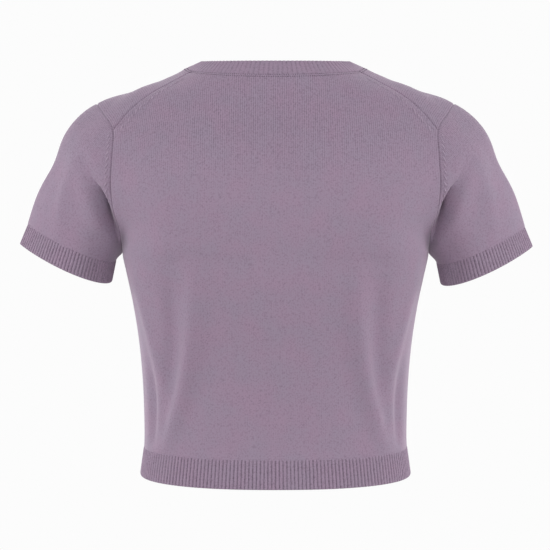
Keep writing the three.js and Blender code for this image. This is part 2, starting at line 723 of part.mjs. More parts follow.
// The four jersey pieces, made together so that they share their seams
const back = new Cloth(panelSheet(backYoke, 0, COLUMNS.backHalf));
const front = new Cloth(panelSheet(frontYoke, 180, COLUMNS.frontHalf), true);
const sleeveLeft = new Cloth(sleeveSheet());
const sleeveRight = new Cloth(sleeveSheet().map((grid) => grid.map((line) => line.map(mirrored))), true);
const jersey = [back, front, sleeveLeft, sleeveRight];
shareNormals(jersey);
foldCloth(back, BODY_FOLDS);
foldCloth(front, BODY_FOLDS);
foldCloth(sleeveLeft, SLEEVE_FOLDS);
foldCloth(sleeveRight, SLEEVE_FOLDS);
shareNormals(jersey);
const neckbandShape = neckBand(front, back);
jersey.forEach(drawBack);

const garment = new THREE.Group();
garment.name = 'crop_top';

function addPiece(name, geometry, material) {
  const mesh = new THREE.Mesh(geometry, material);
  mesh.name = name;
  garment.add(mesh);
}

addPiece('back_panel', wall(back, JERSEY_THICKNESS), LILAC_JERSEY);
addPiece('front_panel', wall(front, JERSEY_THICKNESS), LILAC_JERSEY);
addPiece('sleeve_left', wall(sleeveLeft, JERSEY_THICKNESS), LILAC_JERSEY);
addPiece('sleeve_right', wall(sleeveRight, JERSEY_THICKNESS), LILAC_JERSEY);
addPiece('neckband', neckbandShape, LILAC_RIB);
addPiece('cuff_left', cuffBand(1), LILAC_RIB);
addPiece('cuff_right', cuffBand(-1), LILAC_RIB);
addPiece('hem_rib_back', hemBand(-90, 90), LILAC_RIB);
addPiece('hem_rib_front', hemBand(90, 270), LILAC_RIB);

export default garment;
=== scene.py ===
# Short-sleeved fine-knit crop top, filled out as if worn, with nothing inside it.
# The tables and the cloth are in millimetres, in the part's own frame: +Z up, the back faces +Y,
# the wearer's left is +X. Meshes are turned to metres as they are made.
import math

import bpy
import numpy as np
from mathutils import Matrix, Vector
from mathutils.bvhtree import BVHTree
from mathutils.kdtree import KDTree


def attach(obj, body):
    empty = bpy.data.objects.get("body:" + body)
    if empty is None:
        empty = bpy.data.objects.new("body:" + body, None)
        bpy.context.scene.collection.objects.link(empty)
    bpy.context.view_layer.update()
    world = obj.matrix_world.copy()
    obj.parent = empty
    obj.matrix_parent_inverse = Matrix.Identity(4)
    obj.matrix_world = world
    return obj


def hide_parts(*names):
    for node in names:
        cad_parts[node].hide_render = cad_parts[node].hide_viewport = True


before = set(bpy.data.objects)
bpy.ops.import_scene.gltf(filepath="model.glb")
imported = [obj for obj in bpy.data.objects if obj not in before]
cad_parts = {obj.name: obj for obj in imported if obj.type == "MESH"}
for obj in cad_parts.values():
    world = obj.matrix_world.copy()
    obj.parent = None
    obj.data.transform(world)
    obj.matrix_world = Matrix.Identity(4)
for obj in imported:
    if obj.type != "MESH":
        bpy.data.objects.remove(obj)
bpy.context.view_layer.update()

MM = 0.001

# Driving sizes of the garment
CHEST_Z = -184
HEM_SEAM_Z = -379
HEM_Z = -407
JERSEY_THICKNESS = 1.4
BAND_THICKNESS = 1.4
RIBS = {"hem": 98, "cuff": 82, "neck": 117}
RIB_HEIGHT = {"hem": 1.1, "cuff": 1.0, "neck": 0.55}

# Stretches the trunk's section so that the way from its middle to a point on the hem seam is about the way
# that the cloth faces there
HEM_FACING = (1, 1.6, 0)

# Sizes of one stitch: wales lie side by side and courses one above the other
JERSEY_WALE = 2.1
JERSEY_COURSE = 1.7
RIB_WALE = 3.6
RIB_COURSE = 2.2

# How finely the cloth is divided, and how close to a seam its nearest lines lie
STEP = 2.5
SLEEVE_STEP = 1.8
BESIDE_SEAM = np.array([0, 0.45, 0.95, 1.6, 2.6])
STEPS_IN_RIB = 8
WELD = 0.01


def table(names, *rows):
    """The named columns of a short table."""
    return dict(zip(names.split(), np.array(rows, float).T))


# Trunk below the arms: half width, how far the cloth stands behind and in front of the side seams,
# and how square the section is (2 is an ellipse)
TRUNK = table(
    "z side back front squareness",
    (-184, 152.0, 98.0, 106.0, 3.00),
    (-205, 147.6, 97.5, 105.5, 2.80),
    (-235, 141.4, 94.5, 102.0, 2.60),
    (-273, 135.9, 89.5, 96.0, 2.45),
    (-313, 132.6, 85.5, 91.5, 2.35),
    (-353, 131.4, 83.5, 89.0, 2.30),
    (-379, 131.8, 84.0, 89.5, 2.30),
    (-407, 135.8, 88.5, 94.0, 2.30),
)

# Middle lines of the panels above the chest, from the chest line up to the neckband
BACK_MIDDLE = table("z y", (-184, 98), (-150, 98.5), (-112, 96), (-74, 91), (-40, 83.5), (-21, 77), (-8, 70))
FRONT_MIDDLE = table("z y", (-184, -106), (-152, -103.5), (-113, -95), (-78, -80))

# Heights at the side of a panel and at its middle that lie on one course of the knitting
BACK_COURSES = table("side middle", (-184, -184), (-61.8, -50), (-5, -8))
FRONT_COURSES = table("side middle", (-184, -184), (-74, -78))
# Least that one course climbs above the one before it at the middle
COURSE_CLIMB = 0.12

# Neck, from the centre front to the centre back on the left half: the neckband's seam, the heading
# (0 left, 90 back) and tilt of the cloth there, and the band's free edge
NECK = table(
    "x y z heading tilt top_x top_y top_z",
    (0, -80, -78, -90, 25, 0, -72, -62.5),
    (26, -77, -73, -85, 27, 22.5, -69.5, -58),
    (51, -66, -57, -78, 32, 43.5, -59.5, -43),
    (71, -47, -34, -65, 42, 60, -42, -21.5),
    (83, -23, -12, -35, 56, 70, -20.5, -2.5),
    (87.6, 0, -2.1, 0, 64, 73.4, 0, 4.3),
    (81, 28, -5, 45, 58, 68, 23, 5.1),
    (62, 50, -6.5, 66, 46, 53, 41, 5.2),
    (34, 64, -7.6, 82, 40, 29.5, 53, 5.3),
    (0, 70, -8, 90, 36, 0, 58, 5.3),
)
NECK_PLACES = {"shoulder seam": 6}

# Left armhole, from the underarm up the back, over the shoulder and down the front, with the heading
# and tilt of the body cloth and of the sleeve cloth
ARMHOLE = table(
    "x y z body_heading body_tilt sleeve_heading sleeve_tilt",
    (152, 0, -184, 0, -10, 180, -20),
    (152.4, 34, -160, 40, -6, 150, -22),
    (157.8, 50, -136.8, 55, -3, 90, -8),
    (159.1, 57, -112.6, 60, 3, 74, 2),
    (157.7, 55, -85.5, 62, 16, 66, 16),
    (157.6, 44, -61.8, 58, 36, 58, 36),
    (168.2, 22, -46.9, 36, 52, 36, 52),
    (177, -5, -37.2, 0, 68, 0, 64),
    (171, -30, -51, -48, 50, -45, 48),
    (162, -46, -74, -62, 26, -66, 26),
    (156, -55, -101, -62, 10, -80, 8),
    (153, -55, -128, -58, 0, -96, -4),
    (151.5, -45, -153, -45, -5, -114, -16),
    (151.5, -27, -173, -24, -8, -145, -30),
)
ARMHOLE_PLACES = {"underarm": 0, "shoulder seam": 5, "shoulder point": 7, "front neck level": 9}

# Left shoulder seam, set behind the shoulder, from the neckband to the armhole
SHOULDER_SEAM = table(
    "x y z",
    (81, 28, -5),
    (104.6, 32.5, -17.5),
    (123.4, 36.5, -28.2),
    (141, 40.5, -42.4),
    (157.6, 44, -61.8),
)

# Shares of the courses above the chest that end at the armhole, on the back and on the front
BACK_ARMHOLE_SHARE = 8 / 20
FRONT_ARMHOLE_SHARE = 7 / 19
# Share of a panel's courses that follow its lower or its upper edge
EDGE_REACH = 0.5

# Left cuff: the middle of its seam and of its free edge, half its width across and half its depth
CUFF = table("x y z half_width half_depth", (202.4, -3, -176, 47.6, 45), (209, -4.2, -196.9, 49.8, 47))
CUFF_SEAM, CUFF_END = 0, 1
CUFF_RISE = 22.5
CUFF_LEAN = 3
# The cuff's section is a drop, pointed at the outer edge of the sleeve: 0 would be an ellipse
CUFF_POINT = 0.35
# The right cuff hangs a little further out and lower than the left one
CUFF_HANG = {1: (0.5, 0, 1.3), -1: (2.2, 0, -1.2)}
SHOULDER_PULL = {1: 0.985, -1: 1.06}
CUFF_PULL = 0.9

# Soft folds of the left half, each along a curve between two points that is drawn towards a third.
# Depth is out of the cloth where positive. Lean is how far the fold leans to the left of its run, as a share
# of its depth, and that side is steeper. The last columns are its shares on the left and on the right.
FOLD_COLUMNS = "x0 y0 z0 x1 y1 z1 x2 y2 z2 width depth lean left right"
BODY_FOLDS = table(
    FOLD_COLUMNS,
    # back waist: the inner ridge down to the side seam, the trough outside it, the ridge that crosses from
    # the side seam to meet the inner one, and the hollow below them
    (78, 90, -190, 77, 86, -290, 114, 56, -380, 6.5, 6.6, 0, 1.0, 0.9),
    (98, 84, -192, 99, 78, -262, 112, 60, -342, 7.5, -4.4, 0, 1.0, 0.95),
    (130, 48, -206, 126, 52, -268, 103, 64, -340, 6.5, 2.4, 0, 1.0, 1.0),
    (126, 46, -290, 124, 46, -332, 126, 40, -376, 5, -3.6, 0, 1.0, 0.9),
    (58, 92, -225, 62, 88, -290, 82, 74, -350, 10, -1.2, 0, 0.7, 1.0),
    # top of the shoulder, which stands up a little between the neckband and the sleeve
    (84, 10, -4, 108, 4, -12, 134, 4, -22, 16, -1.5, 0, 1.0, 0.5),
    (112, 4, -14, 142, 2, -25, 176, -4, -37, 14, 1.3, 0, 1.0, 1.6),
    # shoulder blade to underarm
    (120, 78, -150, 138, 66, -176, 146, 30, -205, 14, -1.6, 0, 1.0, 0.8),
    (96, 92, -130, 116, 82, -170, 128, 60, -215, 16, 1.1, 0, 0.7, 1.0),
    # front waist
    (96, -82, -200, 92, -76, -290, 124, -38, -377, 9, 2.6, 0, 0.8, 1.0),
    (116, -68, -205, 108, -66, -280, 122, -46, -350, 13, -3.4, 0, 0.9, 1.0),
    (64, -98, -230, 72, -90, -300, 84, -74, -365, 12, -1.3, 0, 1.0, 0.6),
    (112, -84, -150, 134, -68, -180, 146, -30, -210, 13, -2.0, 0, 1.0, 0.8),
    (84, -102, -140, 108, -92, -175, 128, -62, -225, 16, 1.2, 0, 0.8, 1.0),
)
SLEEVE_FOLDS = table(
    FOLD_COLUMNS,
    # back: the crease that runs into the underarm beneath the cap, deeper at its bottom, the ridge along its
    # outer side, and the soft trough and ridge outside these
    (202, 46, -82, 179, 60, -120, 146, 30, -164, 8.5, -7.2, 0.3, 1.0, 0.95),
    (180, 58, -114, 163, 56, -138, 147, 30, -168, 6, -12.0, 0.85, 1.0, 0.95),
    (206, 46, -88, 185, 60, -126, 154, 40, -172, 7, 3.8, 0, 1.0, 0.9),
    (212, 44, -88, 203, 52, -122, 190, 48, -166, 8, -2.0, 0, 0.8, 1.0),
    (214, 42, -84, 219, 44, -136, 218, 40, -180, 7, 2.0, 0, 1.0, 0.7),
    # outer edge: a dip below the shoulder
    (214, 50, -110, 222, 0, -88, 214, -50, -110, 17, -4.6, 0, 1.0, 1.0),
    # front
    (218, -16, -90, 190, -60, -110, 158, -28, -174, 11, -5.5, 0, 0.9, 1.0),
    (226, -26, -118, 196, -56, -142, 170, -36, -180, 8, 2.2, 0, 0.9, 1.0),
)
# Lines that a fold is divided into, how it fades at its ends, how far above and below its line it still moves
# the cloth, and how much steeper and how far over a full lean makes it
FOLD_STEPS = 24
FOLD_ENDS = 0.04
FOLD_ROUNDNESS = 0.7
FOLD_REACH = 25
LEAN_STEEPNESS = 0.75
LEAN_SHIFT = 0.45

# Seams: how deep the groove is at each, how wide it is, how far folds stay away from it, and how far
# from it the walls turn to meet each other
GROOVE_DEPTH = {"hem": 0.2, "side": 0.4, "armhole": 1.1, "shoulder": 1.2, "neck": 0.3, "cuff": 0.15}
GROOVE_WIDTH = 0.85
FOLD_CLEARANCE = {"body": 5.0, "sleeve": 1.8}
WALL_TURN = 4.0

# Outline of a band's section: share of the way from its seam to its free edge, millimetres out from the
# jersey's face, and how far the ribs move it (1 is their whole height)
BAND_SECTION = table(
    "down out swell",
    (0.000, 0.0, 0.0),
    (0.015, -0.85, 1.0),
    (0.032, -0.85, 1.0),
    (0.055, -0.85, 1.0),
    (0.120, -0.85, 1.0),
    (0.220, -0.85, 1.0),
    (0.360, -0.85, 1.0),
    (0.500, -0.85, 1.0),
    (0.640, -0.85, 1.0),
    (0.780, -0.85, 1.0),
    (0.900, -0.85, 1.0),
    (0.955, -0.9, 0.95),
    (0.985, -1.05, 0.8),
    (1.000, -1.4, 0.7),
    (0.985, -1.85, 0.65),
    (0.955, -2.05, 0.65),
    (0.800, -2.1, 0.7),
    (0.550, -2.1, 0.7),
    (0.300, -2.1, 0.7),
    (0.100, -2.1, 0.7),
    (0.040, -1.8, 0.4),
    (0.000, -1.4, 0.0),
)
# Share of each band's height over which its ribs rise out of the flat cloth at the seam
RIB_RISE = {"hem": 0.05, "cuff": 0.06, "neck": 0.8}

# Seams that each kind of piece meets
PANEL_SEAMS = ("hem", "side", "armhole", "shoulder", "neck")
SLEEVE_SEAMS = ("armhole", "cuff")

# The nap hides the wales of the jersey below the chest and leaves them clear at the shoulders
NAP_BOTTOM, NAP_TOP = -118, -60
# How strongly the flecks in the yarn lighten and darken the cloth
GRAIN = 2.7
# Edges sharper than this many degrees stay crisp
SHARP_EDGE = 50

# Rows of stitches that show on the outside: the panel they lie on, the seam they follow, how far along it
# they start and end, their spacing, how far from it they lie (towards the front or the sleeve where
# positive) and how they slant
MARK_ROWS = (
    ("back", "shoulder", 6, 88, 5.6, -8.4, 30),
    ("sleeve", "armhole", 76, 147, 6.2, 5.0, -30),
    ("front", "armhole", 340, 376, 6.2, -5.0, -30),
)

# Share of the white surroundings that lights the cloth
FILL_LIGHT = 0.3


def unit(vectors):
    return vectors / np.linalg.norm(vectors, axis=-1, keepdims=True)


def dot(a, b):
    return (a * b).sum(-1, keepdims=True)


def places(rows, names="x y z"):
    """The points that three columns of a table hold."""
    return np.stack([rows[name] for name in names.split()], 1)


def facing(heading, tilt):
    """The direction that cloth faces, from its heading (0 left, 90 back) and its tilt above the horizon."""
    heading, tilt = np.radians(heading), np.radians(tilt)
    return np.stack([np.cos(tilt) * np.cos(heading), np.cos(tilt) * np.sin(heading), np.sin(tilt)], -1)


def mirror(points):
    return points * (-1, 1, 1)


def hermite(start, start_pull, end, end_pull, t):
    t2, t3 = t**2, t**3
    return (start * (2 * t3 - 3 * t2 + 1) + start_pull * (t3 - 2 * t2 + t)
            + end * (3 * t2 - 2 * t3) + end_pull * (t3 - t2))


def smooth(knots, values, at, period=0):
    """A smooth curve through the values at the knots, one row for each place that is asked for."""
    knots = np.asarray(knots, float)
    values = np.asarray(values, float).reshape(len(knots), -1)
    at = np.atleast_1d(np.asarray(at, float))
    first, last = 0, len(knots) - 2
    if period:
        knots = np.concatenate([knots[-1:] - period, knots, knots[:2] + period])
        values = np.concatenate([values[-1:], values, values[:2]])
        at = np.mod(at, period)
        first, last = 1, len(knots) - 3
    slopes = np.empty_like(values)
    slopes[1:-1] = (values[2:] - values[:-2]) / (knots[2:] - knots[:-2])[:, None]
    slopes[0] = (values[1] - values[0]) / (knots[1] - knots[0])
    slopes[-1] = (values[-1] - values[-2]) / (knots[-1] - knots[-2])
    i = np.clip(np.searchsorted(knots, at, side="right") - 1, first, last)
    span = (knots[i + 1] - knots[i])[:, None]
    t = (at - knots[i])[:, None] / span
    return hermite(values[i], slopes[i] * span, values[i + 1], slopes[i + 1] * span, t)


def lengths(points):
    """Distances along a line of points from its start."""
    steps = np.linalg.norm(np.diff(points, axis=0), axis=-1)
    return np.concatenate([[0], np.cumsum(steps)])


def closed_knots(points):
    """Knots of a closed line of points, and its length."""
    along = lengths(np.vstack([points, points[:1]]))
    return along[:-1], along[-1]


def stations(length, step=STEP, seam_at_start=False, seam_at_end=False):
    """Shares of a length at even steps, closer together beside a seam."""
    start = BESIDE_SEAM if seam_at_start else BESIDE_SEAM[:1]
    end = length - (BESIDE_SEAM if seam_at_end else BESIDE_SEAM[:1])[::-1]
    count = max(1, round((end[0] - start[-1]) / step))
    return np.concatenate([start, np.linspace(start[-1], end[0], count + 1)[1:-1], end]) / length


def trunk_point(z, turn):
    """Points of the trunk. Turn is 0 at the centre back, 90 at the left side and 180 at the centre front."""
    z, turn = np.broadcast_arrays(np.asarray(z, float), np.asarray(turn, float))
    columns = np.stack([TRUNK[name] for name in ("side", "back", "front", "squareness")], 1)
    section = smooth(-TRUNK["z"], columns, -z.ravel()).reshape(*z.shape, 4)
    side, back, front, squareness = np.moveaxis(section, -1, 0)
    across, along = np.sin(np.radians(turn)), np.cos(np.radians(turn))
    power = 2 / squareness
    depth = np.where(along >= 0, back, front)
    return np.stack([side * np.sign(across) * np.abs(across) ** power,
                     depth * np.sign(along) * np.abs(along) ** power, z], -1)


def even_turns(z, start, end, shares):
    """Turns at the given shares of the way round the trunk from one turn to another."""
    turns = np.linspace(start, end, 801)
    along = lengths(trunk_point(z, turns))
    return np.interp(np.asarray(shares) * along[-1], along, turns)


# Neck ring: the left half of the table, then its mirror image back to the centre front
NECK_RIGHT = {name: column[-2:0:-1] * (-1 if name in ("x", "top_x") else 1) for name, column in NECK.items()}
NECK_RIGHT["heading"] = 180 - NECK_RIGHT["heading"]
NECK_RING = {name: np.concatenate([NECK[name], NECK_RIGHT[name]]) for name in NECK}
NECK_KNOTS, NECK_LENGTH = closed_knots(places(NECK_RING))
NECK_SEAM_KNOT = NECK_KNOTS[NECK_PLACES["shoulder seam"]]


def neck(knots):
    """The neckband's seam at these knots, the way that the cloth faces there, and the band's free edge."""
    values = np.hstack([places(NECK_RING), facing(NECK_RING["heading"], NECK_RING["tilt"]),
                        places(NECK_RING, "top_x top_y top_z")])
    made = smooth(NECK_KNOTS, values, knots, NECK_LENGTH)
    return made[:, :3], unit(made[:, 3:6]), made[:, 6:]


ARMHOLE_KNOTS, ARMHOLE_LENGTH = closed_knots(places(ARMHOLE))
ARMHOLE_KNOT = {name: ARMHOLE_KNOTS[row] for name, row in ARMHOLE_PLACES.items()}


def armhole(knots):
    """The left armhole at these knots, and the ways that the body and the sleeve face there."""
    values = np.hstack([places(ARMHOLE), facing(ARMHOLE["body_heading"], ARMHOLE["body_tilt"]),
                        facing(ARMHOLE["sleeve_heading"], ARMHOLE["sleeve_tilt"])])
    made = smooth(ARMHOLE_KNOTS, values, knots, ARMHOLE_LENGTH)
    return made[:, :3], unit(made[:, 3:6]), unit(made[:, 6:])


def shoulder_seam(shares):
    """The left shoulder seam from the armhole (0) to the neckband (1), and the way that the cloth faces."""
    rows = places(SHOULDER_SEAM)
    knots = lengths(rows)
    shares = np.atleast_1d(shares)
    _, corner, _ = armhole([ARMHOLE_KNOT["shoulder seam"]])
    _, at_neck, _ = neck([NECK_SEAM_KNOT])
    outward = unit(corner * (1 - shares[:, None]) + at_neck * shares[:, None])
    return smooth(knots, rows, knots[-1] * (1 - shares)), outward


CUFF_ACROSS = facing(0, CUFF_RISE)
CUFF_DEEP = facing(90, -CUFF_LEAN)


def drop_depth(angle):
    """How deep a drop-shaped section of half depth 1 is at this angle from its point, in radians."""
    def depth(at):
        return np.sin(at) * ((1 - np.cos(at)) / 2) ** CUFF_POINT
    return depth(angle) / depth(np.linspace(0, math.pi, 361)).max()


def cuff_ring(row, angle, side=1):
    """Points on one cuff's seam or free edge, both drawn on the left. The angle is 0 outwards, 90 back."""
    angle = np.radians(np.mod(angle, 360))[:, None]
    front = np.where(angle > math.pi, -1, 1)
    depth = front * drop_depth(np.minimum(angle, 2 * math.pi - angle))
    return (places(CUFF)[row] + CUFF_HANG[side] + CUFF_ACROSS * CUFF["half_width"][row] * np.cos(angle)
            + CUFF_DEEP * CUFF["half_depth"][row] * depth)


def cuff_facing(angle):
    """The way that the sleeve and the cuff face at their seam."""
    run = cuff_ring(CUFF_SEAM, angle + 0.5) - cuff_ring(CUFF_SEAM, angle - 0.5)
    return unit(np.cross(run, np.cross(CUFF_ACROSS, CUFF_DEEP)))


def even_cuff_angles(count):
    """Angles at even steps round the cuff."""
    angles = np.linspace(0, 360, 1441)
    along = lengths(cuff_ring(CUFF_SEAM, angles))
    return np.interp(np.linspace(0, along[-1], count + 1)[:-1], along, angles)


def hem_facing(points):
    """The way that the body and the hem rib face at their seam."""
    return unit(points * HEM_FACING)


def cuff_angle(knots):
    """Angle round the cuff of a knot on the armhole: 180 at the underarm, 90 behind, 0 at the shoulder."""
    shoulder = ARMHOLE_KNOT["shoulder point"]
    behind = 180 - 180 * knots / shoulder
    before = -180 * (knots - shoulder) / (ARMHOLE_LENGTH - shoulder)
    return np.where(knots <= shoulder, behind, before)


def pull_along(start, end, normal):
    """The run of the cloth from start to end, square to the way that it faces."""
    chord = end - start
    flat = chord - dot(chord, normal) * normal
    return unit(flat) * np.linalg.norm(chord, axis=-1, keepdims=True)


def courses(side, side_facing, end, end_facing, shares):
    """Lines of knitting from the side of a panel to its middle or to the neck: [row, column, xyz]."""
    start_pull = pull_along(side, end, side_facing)
    end_pull = pull_along(side, end, end_facing)
    at_middle = np.abs(end[:, :1]) < WELD
    level = np.linalg.norm(end_pull, axis=-1, keepdims=True) * (-1, 0, 0)
    end_pull = np.where(at_middle, level, end_pull)
    t = np.asarray(shares)[None, :, None]
    return hermite(side[:, None], start_pull[:, None], end[:, None], end_pull[:, None], t)


def middle_places(middle, course_table, side_heights):
    """Places on a panel's middle line on the same course as these heights at its side."""
    z = smooth(course_table["side"], course_table["middle"], side_heights)[:, 0]
    # The armhole's curve dips a little below the chest line, and the courses mustn't double back there
    z = np.maximum(z, CHEST_Z + COURSE_CLIMB * np.arange(len(z)))
    y = smooth(middle["z"], middle["y"], z)[:, 0]
    points = np.stack([np.zeros_like(z), y, z], 1)
    return points, np.stack([np.zeros_like(z), np.sign(y), np.zeros_like(z)], 1)


def fit_edges(lines, shares, lower, upper):
    """Moves the courses near a panel's lower and upper edges so that these follow the lines given."""
    def fade(share):
        share = np.minimum(share / EDGE_REACH, 1)
        return ((1 - share) ** 2 * (1 + 2 * share))[:, None, None]
    return (lines + (lower - lines[0]) * fade(shares) + (upper - lines[-1]) * fade(1 - shares))


def yoke_rows(armhole_share, armhole_length, shoulder_length, seam_at_end):
    """Shares of the rows above the chest, with one row exactly where the armhole part ends."""
    low = stations(armhole_length) * armhole_share
    high = armhole_share + stations(shoulder_length, seam_at_end=seam_at_end) * (1 - armhole_share)
    return np.concatenate([low, high[1:]])


def back_yoke(columns):
    """Half of the back above the chest, and the shares of its rows."""
    shares = yoke_rows(BACK_ARMHOLE_SHARE, 150, 105, seam_at_end=True)
    on_armhole = shares <= BACK_ARMHOLE_SHARE + 1e-9
    knots = shares[on_armhole] / BACK_ARMHOLE_SHARE * ARMHOLE_KNOT["shoulder seam"]
    points, outward, _ = armhole(knots)
    above = (shares[~on_armhole] - BACK_ARMHOLE_SHARE) / (1 - BACK_ARMHOLE_SHARE)
    upper, upper_outward = shoulder_seam(above)
    side, side_outward = np.vstack([points, upper]), np.vstack([outward, upper_outward])
    end, end_outward = middle_places(BACK_MIDDLE, BACK_COURSES, side[:, 2])
    lines = courses(side, side_outward, end, end_outward, columns)
    lower = trunk_point(CHEST_Z, even_turns(CHEST_Z, 90, 0, columns))
    knots = NECK_SEAM_KNOT + (NECK_LENGTH / 2 - NECK_SEAM_KNOT) * columns
    return fit_edges(lines, shares, lower, neck(knots)[0]), shares


def front_yoke(columns):
    """Half of the front above the chest and over the shoulder, and the shares of its rows."""
    shares = yoke_rows(FRONT_ARMHOLE_SHARE, 130, 150, seam_at_end=True)
    on_chest = shares <= FRONT_ARMHOLE_SHARE + 1e-9
    above = (shares[~on_chest] - FRONT_ARMHOLE_SHARE) / (1 - FRONT_ARMHOLE_SHARE)
    level, seam = ARMHOLE_KNOT["front neck level"], ARMHOLE_KNOT["shoulder seam"]
    knots = np.concatenate([
        ARMHOLE_LENGTH + (level - ARMHOLE_LENGTH) * shares[on_chest] / FRONT_ARMHOLE_SHARE,
        level + (seam - level) * above,
    ])
    side, side_outward, _ = armhole(knots)
    middle, middle_outward = middle_places(FRONT_MIDDLE, FRONT_COURSES, side[on_chest, 2])
    neck_edge, neck_outward, _ = neck(NECK_SEAM_KNOT * above)
    lines = courses(side, side_outward, np.vstack([middle, neck_edge]),
                    np.vstack([middle_outward, neck_outward]), columns)
    lower = trunk_point(CHEST_Z, even_turns(CHEST_Z, 90, 180, columns))
    return fit_edges(lines, shares, lower, shoulder_seam(columns)[0]), shares


def knit_lengths(lines, to_middle):
    """How far each point lies from the middle along its course, and from the first course along its wale.
    From the row given in to_middle upwards, courses are measured from the side instead."""
    across = np.concatenate([np.zeros((len(lines), 1)),
                             np.cumsum(np.linalg.norm(np.diff(lines, axis=1), axis=-1), axis=1)], 1)
    whole = across[:, -1:].copy()
    whole[to_middle:] = whole[to_middle]
    along = np.concatenate([np.zeros((1, lines.shape[1])),
                            np.cumsum(np.linalg.norm(np.diff(lines, axis=0), axis=-1), axis=0)])
    return np.stack([whole - across, along], -1)


class Sheet:
    """A welded sheet of cloth. Its faces point out, and each corner knows its wale and course."""

    def __init__(self, grids, flip=False):
        points = np.concatenate([grid.reshape(-1, 3) for grid, _ in grids])
        knit = np.concatenate([uv.reshape(-1, 2) for _, uv in grids])
        quads, start = [], 0
        for grid, _ in grids:
            rows, columns = grid.shape[:2]
            ids = start + np.arange(rows * columns).reshape(rows, columns)
            corners = np.stack([ids[:-1, :-1], ids[:-1, 1:], ids[1:, 1:], ids[1:, :-1]], -1)
            quads.append(corners.reshape(-1, 4))
            start += rows * columns
        quads = np.concatenate(quads)
        quads = quads[:, ::-1] if flip else quads
        self.knit = knit[quads].reshape(-1, 2)
        _, first, welded = np.unique(np.round(points / WELD).astype(int), axis=0,
                                     return_index=True, return_inverse=True)
        self.points = points[first]
        self.faces = welded.reshape(-1)[quads]
        self.skin = self.points

    def outward(self):
        a, b, c, d = (self.points[self.faces[:, i]] for i in range(4))
        normal = np.cross(c - a, d - b)
        total = np.zeros_like(self.points)
        for i in range(4):
            np.add.at(total, self.faces[:, i], normal)
        return unit(total)

    def edges(self):
        """Open edges, in the order that their faces run."""
        pairs = np.concatenate([np.stack([self.faces[:, i], self.faces[:, (i + 1) % 4]], 1) for i in range(4)])
        _, same, count = np.unique(np.sort(pairs, 1), axis=0, return_inverse=True, return_counts=True)
        return pairs[count[same.reshape(-1)] == 1]

    def fold(self, folds, away_from_seam, clearance):
        """Moves the cloth by its soft folds, less and less towards a seam."""
        normals = self.outward()
        move = np.zeros_like(self.points)
        for side, share_name in ((1, "left"), (-1, "right")):
            for row in range(len(folds["width"])):
                fold = {name: column[row] for name, column in folds.items()}
                move += fold[share_name] * fold_move(self.points, normals, fold, side)
        quiet = 1 - np.exp(-((away_from_seam / clearance) ** 2))
        self.points = self.points + move * quiet[:, None]
        self.skin = self.points

    def ease(self, height, reach, rounds):
        """Evens out the slight bend across the cloth at this height. Open edges stay where they are."""
        pairs = np.concatenate([np.stack([self.faces[:, i], self.faces[:, (i + 1) % 4]], 1) for i in range(4)])
        pairs = np.unique(np.sort(pairs, 1), axis=0)
        neighbours = np.bincount(pairs.ravel())[:, None]
        share = 0.5 * np.exp(-(((self.points[:, 2:] - height) / reach) ** 2))
        share[self.edges().ravel()] = 0
        for _ in range(rounds):
            total = np.zeros_like(self.points)
            np.add.at(total, pairs[:, 0], self.points[pairs[:, 1]])
            np.add.at(total, pairs[:, 1], self.points[pairs[:, 0]])
            normals = self.outward()
            self.points = self.points + normals * dot(total / neighbours - self.points, normals) * share

    def dress_seams(self, seams):
        """Draws the outer face into a groove at each seam, and turns the wall to meet its neighbour's."""
        distance, direction, depth = nearest_seam(self.points, seams)
        near = np.exp(-((distance / WALL_TURN) ** 2))[:, None]
        self.through = unit(self.outward() * (1 - near) + direction * near)
        dip = depth * np.exp(-((distance / GROOVE_WIDTH) ** 2))
        self.skin = self.points - self.through * dip[:, None]

    def shell(self, thickness):
        """Points, faces, corner knit lengths and an inside mark for each face of the closed wall."""
        count = len(self.points)
        inner = self.points - self.through * thickness
        edges = self.edges()
        rim = np.stack([edges[:, 1], edges[:, 0], edges[:, 0] + count, edges[:, 1] + count], 1)
        faces = np.concatenate([self.faces, self.faces[:, ::-1] + count, rim])
        turned = self.knit.reshape(-1, 4, 2)[:, ::-1].reshape(-1, 2)
        rim_knit = np.zeros((len(rim) * 4, 2))
        inside = np.repeat([False, True, False], [len(self.faces), len(self.faces), len(rim)])
        return np.vstack([self.skin, inner]), faces, np.vstack([self.knit, turned, rim_knit]), inside


